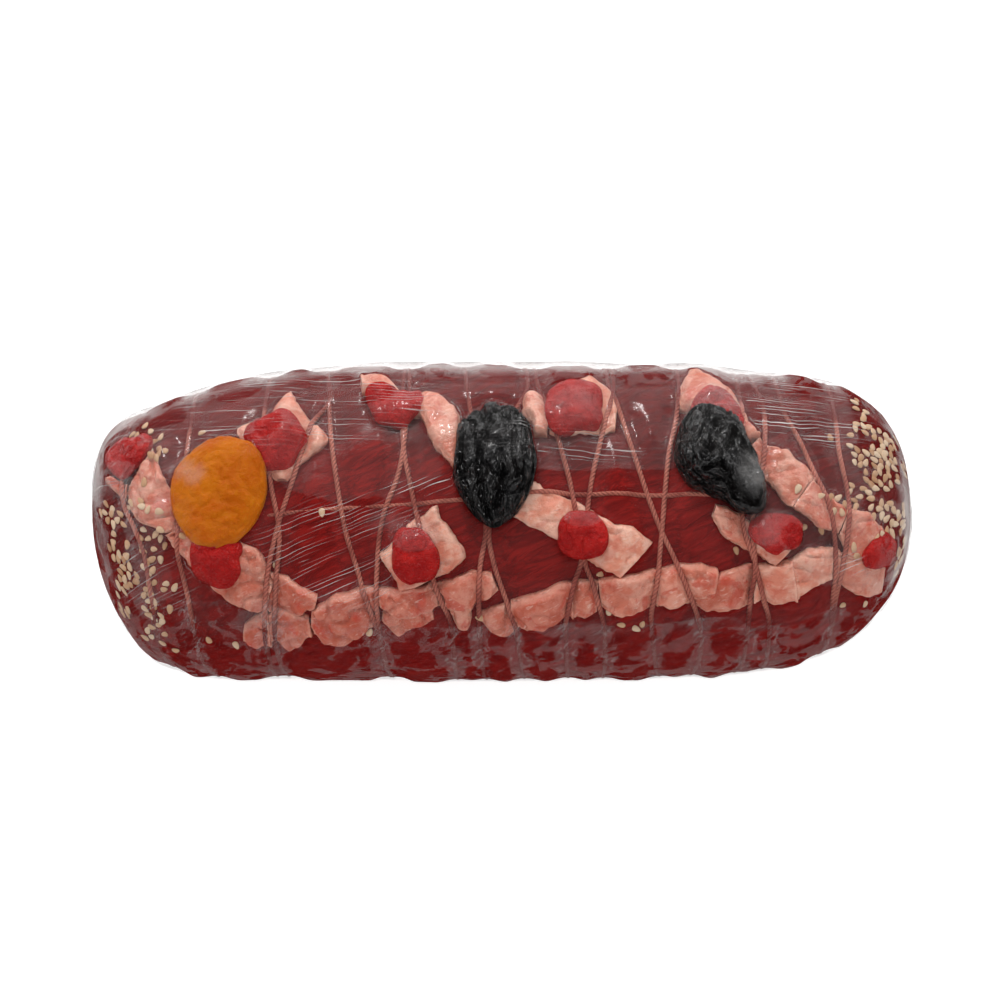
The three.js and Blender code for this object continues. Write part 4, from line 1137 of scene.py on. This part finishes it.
class Shader:
    """A material's nodes, with short ways to add them."""

    def __init__(self, name):
        self.material = bpy.data.materials.new(name)
        self.material.use_nodes = True
        self.tree = self.material.node_tree
        self.surface = self.tree.nodes["Principled BSDF"]

    def node(self, kind, inputs=None, **settings):
        made = self.tree.nodes.new(kind)
        for key, value in settings.items():
            setattr(made, key, value)
        for key, value in (inputs or {}).items():
            self.feed(made.inputs[key], value)
        return made

    def feed(self, socket, value):
        if isinstance(value, bpy.types.NodeSocket):
            self.tree.links.new(value, socket)
        else:
            socket.default_value = value

    def set(self, **inputs):
        for key, value in inputs.items():
            self.feed(self.surface.inputs[key.replace("_", " ")], value)

    def place(self):
        return self.node("ShaderNodeTexCoord").outputs["Object"]

    def stretched(self, slope, size=(1, 1, 1)):
        """The place along a slope in degrees, in units of a size in millimetres for each axis."""
        turned = {"Vector": self.place(), "Rotation": (0, 0, math.radians(-slope))}
        scale = tuple(MM_IN_A_METRE / s for s in size)
        inputs = {"Vector": self.node("ShaderNodeMapping", turned).outputs[0], "Scale": scale}
        return self.node("ShaderNodeMapping", inputs).outputs[0]

    def noise_over(self, place, scale, detail, rough, distortion):
        inputs = {"Vector": place, "Scale": scale, "Detail": detail, "Roughness": rough}
        inputs["Distortion"] = distortion
        return self.node("ShaderNodeTexNoise", inputs).outputs["Fac"]

    def noise(self, size, detail=3, rough=0.5, distortion=0.0):
        """Noise with lumps of a size in millimetres."""
        return self.noise_over(self.place(), MM_IN_A_METRE / size, detail, rough, distortion)

    def streaks(self, slope, size, detail=3, rough=0.5, distortion=0.0):
        """Noise along a slope, with lumps of a size for each axis."""
        return self.noise_over(self.stretched(slope, size), 1.0, detail, rough, distortion)

    def ramp(self, value, *stops):
        made = self.node("ShaderNodeValToRGB", {"Fac": value})
        elements = made.color_ramp.elements
        while len(elements) < len(stops):
            elements.new(0.5)
        for element, (position, colour) in zip(elements, stops):
            element.position = position
            element.color = (*colour, 1)
        return made.outputs["Color"]

    def grade(self, value, low, high, to_low=0.0, to_high=1.0):
        """A smooth change from one value at low to another at high."""
        inputs = {"Value": value, "From Min": low, "From Max": high, "To Min": to_low, "To Max": to_high}
        return self.node("ShaderNodeMapRange", inputs, interpolation_type="SMOOTHSTEP").outputs[0]

    def work_out(self, operation, a, b=0.0):
        made = self.node("ShaderNodeMath", operation=operation)
        self.feed(made.inputs[0], a)
        self.feed(made.inputs[1], b)
        return made.outputs[0]

    def times(self, *values):
        total = values[0]
        for value in values[1:]:
            total = self.work_out("MULTIPLY", total, value)
        return total

    def plus(self, *values):
        total = values[0]
        for value in values[1:]:
            total = self.work_out("ADD", total, value)
        return total

    def from_middle(self, value):
        """How far a noise is from its middle value, which makes thin creases at 0."""
        return self.work_out("ABSOLUTE", self.work_out("SUBTRACT", value, 0.5))

    def mix(self, share, a, b):
        """A blend of two colours, the second by a share."""
        made = self.node("ShaderNodeMix", data_type="RGBA")
        self.feed(made.inputs["Factor"], share)
        self.feed(made.inputs[6], a if isinstance(a, bpy.types.NodeSocket) else (*a, 1))
        self.feed(made.inputs[7], b if isinstance(b, bpy.types.NodeSocket) else (*b, 1))
        return made.outputs[2]

    def value_at(self, name):
        """A value that the mesh holds at its points."""
        return self.node("ShaderNodeAttribute", attribute_name=name).outputs["Fac"]

    def soft(self, weight, depth, spread):
        """Light that goes into the surface and spreads, with the depth in millimetres."""
        self.set(Subsurface_Weight=weight, Subsurface_Scale=depth * MM, Subsurface_Radius=spread)

    def bump(self, height, depth, strength=1.0):
        """Fine relief, with the depth in millimetres."""
        inputs = {"Height": height, "Distance": depth * MM, "Strength": strength}
        self.feed(self.surface.inputs["Normal"], self.node("ShaderNodeBump", inputs).outputs[0])


def meat_material():
    """Dark red fibres along two slopes, with painted shade in thin blackish furrows, a few pink seams, and
    painted shade where the film's veil lies.
    """
    m = Shader("raw_lean_meat")
    dark_red, red, patch_red = (0.165, 0.0035, 0.003), (0.27, 0.009, 0.007), (0.24, 0.010, 0.008)
    painted_furrow_shade, seam_pink, shade = (0.09, 0.003, 0.003), (0.4, 0.05, 0.04), (0.02, 0.001, 0.001)
    fibre = m.streaks(24, (17, 2.4, 2.4), distortion=1.0)
    strand = m.streaks(28, (32, 6.0, 6.0), distortion=1.6)
    lean = m.mix(m.grade(fibre, 0.34, 0.68), dark_red, red)
    # Painted shade in the thin furrows
    furrow_shade = m.grade(m.from_middle(strand), 0.0, 0.022, 0.6, 0)
    furrow_shaded = m.mix(furrow_shade, lean, painted_furrow_shade)
    patchy = m.mix(m.times(m.grade(m.noise(20), 0.45, 0.7), 0.5), furrow_shaded, patch_red)
    seam = m.times(m.grade(m.value_at("bundle"), 0.4, 0.95), 0.12)
    seamed = m.mix(seam, patchy, seam_pink)
    # Painted shade: the dim value darkens the meat towards a near black
    m.set(Base_Color=m.mix(m.times(m.value_at("dim"), 0.42), seamed, shade))
    m.set(Roughness=0.5, Specular_IOR_Level=0.0)
    m.soft(0.1, 1.5, (1.0, 0.2, 0.2))
    m.bump(m.plus(m.times(fibre, 0.5), m.times(strand, 2.0)), 1.0)
    return m.material


def fat_material():
    """Salmon to cream fat by the piece's tone, stained red in patches, with a pale rim."""
    m = Shader("raw_fat")
    dark_red, dark_pink = (0.50, 0.085, 0.045), (0.80, 0.30, 0.20)
    light_red, light_pink = (0.62, 0.17, 0.11), (0.88, 0.50, 0.38)
    stain, vein, glassy_pink = (0.56, 0.060, 0.032), (0.55, 0.10, 0.065), (0.92, 0.62, 0.52)
    blotch = m.noise(7, 4, 0.6)
    fine = m.streaks(25, (3.2, 1.1, 1.4), 4, 0.6, 0.6)
    tone = m.value_at("tone")
    dark = m.mix(tone, dark_red, dark_pink)
    light = m.mix(tone, light_red, light_pink)
    salmon = m.mix(m.grade(blotch, 0.4, 0.6), dark, light)
    red = m.times(m.grade(m.noise(11, 4, 0.6, 1.4), 0.52, 0.66), m.grade(tone, 0, 1, 0.8, 0.35))
    stained = m.mix(red, salmon, stain)
    veined = m.mix(m.times(m.grade(fine, 0.58, 0.7), 0.25), stained, vein)
    glassy = m.mix(m.grade(fine, 0.42, 0.3, 0, 0.45), veined, glassy_pink)
    rim = m.times(m.grade(m.value_at("inside"), 0.1, 1.2, 1, 0), 0.35)
    m.set(Base_Color=m.mix(rim, glassy, light_pink))
    m.set(Roughness=0.22, Specular_IOR_Level=0.35)
    m.soft(0.2, 2, (1.0, 0.4, 0.28))
    m.bump(m.plus(m.times(fine, 0.4), m.times(blotch, 2.6)), 0.8)
    return m.material


def red_material():
    m = Shader("red_fruit_skin")
    deep_red, bright_red = (0.35, 0.003, 0.003), (0.48, 0.010, 0.008)
    fine = m.noise(1.1, 4, 0.6)
    m.set(Base_Color=m.mix(m.grade(m.noise(5), 0.35, 0.7), deep_red, bright_red))
    m.set(Roughness=0.22, Specular_IOR_Level=0.12)
    m.soft(0.3, 3, (1.0, 0.1, 0.08))
    m.bump(m.plus(m.times(fine, 0.7), m.times(m.noise(2.6, rough=0.55), 2.4)), 1.0)
    return m.material


def prune_material():
    """Nearly black and wet, with puckered skin."""
    m = Shader("prune_skin")
    black, brown_black = (0.0018, 0.0014, 0.0016), (0.006, 0.004, 0.0036)
    fine = m.noise(1.2, 4, 0.6)
    pucker = m.from_middle(m.streaks(75, (5.0, 2.2, 2.6), 1, 0.5, 0.9))
    m.set(Base_Color=m.mix(m.grade(m.noise(7), 0.4, 0.75), black, brown_black))
    m.set(Roughness=m.grade(fine, 0.3, 0.7, 0.06, 0.16), Specular_IOR_Level=0.5)
    m.bump(m.plus(m.times(pucker, 3.2), m.times(fine, 0.12)), 1.0)
    return m.material


def apricot_material():
    m = Shader("apricot_skin")
    brown_orange, orange, yellow = (0.50, 0.105, 0.002), (0.58, 0.155, 0.004), (0.66, 0.22, 0.012)
    blotch = m.noise(9, 4, 0.6)
    fine = m.noise(1.2, 4, 0.6)
    base = m.mix(m.grade(blotch, 0.38, 0.64), brown_orange, orange)
    m.set(Base_Color=m.mix(m.times(m.grade(fine, 0.52, 0.72), 0.25), base, yellow))
    m.set(Roughness=0.35, Specular_IOR_Level=0.08)
    m.soft(0.3, 3, (1.0, 0.35, 0.05))
    m.bump(m.plus(fine, m.times(blotch, 1.5)), 0.6)
    return m.material


def twine_material():
    """Three plies twisted round each other, paler on their crests and with painted shade in the grooves
    between them.
    """
    m = Shader("stained_cotton")
    pink, dark_red, painted_groove_shade = (0.62, 0.21, 0.15), (0.20, 0.016, 0.012), (0.17, 0.018, 0.014)
    turn = m.work_out("ARCTAN2", m.value_at("round_y"), m.value_at("round_x"))
    wound = m.plus(m.times(turn, PLIES / 2), m.times(m.value_at("along"), PLIES * math.pi / TWIST_PITCH))
    ply = m.work_out("ABSOLUTE", m.work_out("SINE", wound))
    stain = m.plus(m.value_at("stain"), m.grade(m.noise(12, 2), 0.35, 0.7, 0, 0.4))
    base = m.mix(m.grade(stain, 0, 1.1), pink, dark_red)
    # Painted shade darkens the grooves between the plies
    m.set(Base_Color=m.mix(m.grade(ply, 0.0, 0.5, 0.5, 0), base, painted_groove_shade))
    m.set(Roughness=0.7, Specular_IOR_Level=0.15)
    m.bump(m.plus(ply, m.times(m.noise(0.45, rough=0.6), 0.4)), 0.35)
    return m.material


def seed_material():
    """Cream to brown hulls, by the seed."""
    m = Shader("sesame_hull")
    brown, tan, cream, speck = (0.46, 0.22, 0.10), (0.62, 0.38, 0.22), (0.74, 0.55, 0.38), (0.4, 0.22, 0.11)
    fine = m.noise(0.6, rough=0.6)
    tint = m.ramp(m.value_at("tint"), (0.0, brown), (0.4, tan), (1.0, cream))
    m.set(Base_Color=m.mix(m.grade(fine, 0.55, 0.8, 0, 0.4), tint, speck))
    m.set(Roughness=0.5, Specular_IOR_Level=0.3)
    m.bump(fine, 0.08, 0.6)
    return m.material


def film_lines(m, slope, name, apart):
    """Painted highlights of fine folds side by side along a slope, where a value allows them."""
    across = m.node("ShaderNodeSeparateXYZ", {"Vector": m.stretched(slope)}).outputs["Y"]
    sway = m.streaks(slope, (50, 6, 30), 2)
    phase = m.times(m.plus(m.times(across, 1 / apart), m.times(sway, 4.5)), math.pi)
    thin = m.grade(m.work_out("ABSOLUTE", m.work_out("SINE", phase)), 0.0, 0.42, 1, 0)
    broken = m.grade(m.streaks(slope, (24, 1.1, 30), 2), 0.42, 0.62)
    bunch = m.grade(m.streaks(slope, (46, 7, 30), 2), 0.32, 0.52)
    return m.times(thin, broken, bunch, m.value_at(name))


def film_veil(m):
    """Where the film veils what is below with its own haze and a painted reflection, which stay off where it
    lies wet, and the noise of that veil's edge.
    """
    edge = m.noise(8, 4, 0.55, 0.9)
    clinging = m.plus(edge, m.times(m.value_at("cling"), 0.11))
    blotch = m.times(m.grade(clinging, 0.575, 0.585), m.value_at("flank"))
    spot = m.grade(m.plus(m.value_at("wet"), m.times(edge, 1.2)), 1.10, 1.12)
    dry = m.grade(m.work_out("MAXIMUM", blotch, spot), 0, 1, 1, 0)
    ragged = m.plus(m.value_at("haze_and_reflection"), m.work_out("SUBTRACT", edge, 0.5))
    return m.times(m.grade(ragged, 0.45, 0.55), dry), edge


def film_creases(m):
    """Painted highlights along small creases in the film's veiled flanks, few of them near the twine."""
    sharp = m.grade(m.from_middle(m.streaks(52, (13, 2.2, 6), 2, 0.5, 0.4)), 0.0, 0.03, 1, 0)
    near_twine = m.grade(m.value_at("cling"), 0.3, 1, 1, 0.1)
    return m.times(sharp, near_twine, m.value_at("flank"), CREASE_LIGHT)


def film_material():
    """Clear film as thin white light over what is below it, partly its own haze and partly painted
    reflection, glare and fold highlights, and a mirror at a low angle.
    """
    m = Shader("clear_film")
    film_white, side_grey = (0.95, 0.92, 0.90), (0.56, 0.55, 0.53)
    bare = m.value_at("bare")
    # The veil: the film's own haze and a painted reflection, as white
    veiled, edge = film_veil(m)
    flank_light = m.plus(VEIL_LIGHT, m.times(m.value_at("flank"), FLANK_VEIL_LIGHT))
    veil = m.plus(m.times(veiled, flank_light), CLEAR_LIGHT)
    # Painted glare at the pale spots
    pale = m.times(m.value_at("pale"), m.grade(edge, 0.3, 0.7, 0.04, 0.1))
    haze_and_reflection = m.plus(m.times(veil, m.grade(bare, 0, 1, 1, 0)), pale)
    # Painted highlights along the film's folds
    lines = m.work_out("MAXIMUM", film_lines(m, 22, "rising", 1.3), film_lines(m, -3, "level", 1.2))
    spanned = m.grade(m.value_at("gap"), 0.5, 2.2)
    facing = m.node("ShaderNodeLayerWeight", {"Blend": 0.5}).outputs["Facing"]
    side_on = m.times(spanned, m.grade(facing, 0.55, 0.8), SIDE_ON_LIGHT)
    spans = m.times(spanned, SPAN_LIGHT)
    white = m.plus(haze_and_reflection, m.times(lines, FOLD_LIGHT), film_creases(m), spans, side_on)
    shine = m.plus(SHINE_FACING, m.times(m.work_out("POWER", facing, 4.0), SHINE_SIDE_ON))
    gloss = m.times(shine, m.grade(veiled, 0, 1, 0.1, 1), m.grade(bare, 0, 1, 1, 0.3))
    m.set(Alpha=m.work_out("MINIMUM", m.plus(white, gloss), MOST_OPAQUE))
    m.set(Metallic=m.work_out("DIVIDE", gloss, m.plus(white, gloss)))
    m.set(Base_Color=m.mix(m.grade(facing, 0.7, 0.95), film_white, side_grey))
    m.set(Roughness=0.14, Specular_IOR_Level=0.2)
    m.bump(m.plus(m.streaks(-12, (22, 3.0, 5.0)), m.times(lines, 0.3)), 0.4, 0.5)
    return m.material


def finish_piece(obj, material, slot, *nodes):
    obj.data.materials.append(material)
    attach(obj, "root")
    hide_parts(*nodes)


def build_camera():
    elevation = math.radians(CAMERA_ELEVATION)
    back = Vector((0, -math.cos(elevation), math.sin(elevation)))
    up = Vector((0, math.sin(elevation), math.cos(elevation)))
    data = bpy.data.cameras.new("camera")
    data.sensor_width = SENSOR
    data.lens = SENSOR * CAMERA_DISTANCE / VIEW_WIDTH
    camera = bpy.data.objects.new("camera", data)
    camera.location = Vector(AIM) + up * AIM_UP + back * CAMERA_DISTANCE
    camera.rotation_mode = "QUATERNION"
    camera.rotation_quaternion = (-back).to_track_quat("-Z", "Y")
    bpy.context.scene.collection.objects.link(camera)
    bpy.context.scene.camera = camera


def soft_box(name, place, size, radiance, mirrored):
    """A rectangular light that faces the roast, as bright as a surface of that radiance."""
    data = bpy.data.lights.new(name, "AREA")
    data.shape = "RECTANGLE"
    data.size, data.size_y = size
    data.energy = radiance * math.pi * size[0] * size[1]
    light = bpy.data.objects.new(name, data)
    light.visible_glossy = mirrored
    light.location = place
    light.rotation_mode = "QUATERNION"
    light.rotation_quaternion = (Vector(LIT_PLACE) - Vector(place)).to_track_quat("-Z", "Y")
    bpy.context.scene.collection.objects.link(light)


def build_world():
    """A room that is bright round the horizon and dark overhead, as the film mirrors it."""
    world = bpy.data.worlds.new("studio")
    world.use_nodes = True
    tree = world.node_tree
    direction = tree.nodes.new("ShaderNodeTexCoord")
    parts = tree.nodes.new("ShaderNodeSeparateXYZ")
    dim = tree.nodes.new("ShaderNodeMapRange")
    dim.interpolation_type = "SMOOTHSTEP"
    strengths = {"From Min": BRIGHT_UP_TO, "From Max": DARK_FROM, "To Min": 1.0, "To Max": DARK_STRENGTH}
    for key, value in strengths.items():
        dim.inputs[key].default_value = value
    tree.links.new(direction.outputs["Generated"], parts.inputs[0])
    tree.links.new(parts.outputs["Z"], dim.inputs["Value"])
    tree.links.new(dim.outputs[0], tree.nodes["Background"].inputs["Strength"])
    tree.nodes["Background"].inputs["Color"].default_value = WHITE
    bpy.context.scene.world = world


def floor_material():
    """White paper that the camera sees nearly evenly lit."""
    m = Shader("white_paper")
    m.set(Base_Color=FLOOR_GREY, Roughness=0.9, Specular_IOR_Level=0.0)
    seen = m.node("ShaderNodeLightPath").outputs["Is Camera Ray"]
    m.set(Emission_Color=WHITE, Emission_Strength=m.times(seen, FLOOR_GLOW))
    return m.material


def build_floor():
    side = FLOOR_HALF_SIDE
    mesh = bpy.data.meshes.new("floor")
    corners = [(-side, -side, 0), (side, -side, 0), (side, side, 0), (-side, side, 0)]
    mesh.from_pydata(corners, [], [(0, 1, 2, 3)])
    floor = bpy.data.objects.new("floor", mesh)
    mesh.materials.append(floor_material())
    bpy.context.scene.collection.objects.link(floor)


build_camera()
build_world()
for light_name, light in LIGHTS.items():
    soft_box(light_name, *light)
build_floor()
bpy.context.scene.view_settings.view_transform = "Standard"

haze_and_reflection, flank = film_haze_and_reflection()
meat, ground = build_meat(haze_and_reflection)
finish_piece(meat, meat_material(), "meat", "meat")

fat_pieces, with_fat = build_fat(ground)
fat_look = fat_material()
for name, piece in fat_pieces.items():
    finish_piece(piece, fat_look, "fat", name)

twine, twine_points = build_twine(with_fat)
finish_piece(twine, twine_material(), "twine", "twine")

looks = {"prune": prune_material(), "apricot": apricot_material(), "red_fruit": red_material()}
fruit_pieces, with_fruit, fruit_masks = build_fruits(with_fat)
for name, piece in fruit_pieces.items():
    kind = FRUITS[name][0]
    finish_piece(piece, looks[kind], kind, name)

seeds, seed_points = build_seeds(with_fat)
finish_piece(seeds, seed_material(), "sesame", "meat")

covered = raster(seed_points, raster(twine_points, with_fruit.copy()))
film = build_film(covered, haze_and_reflection, flank, fruit_masks)
finish_piece(film, film_material(), "film", "meat")
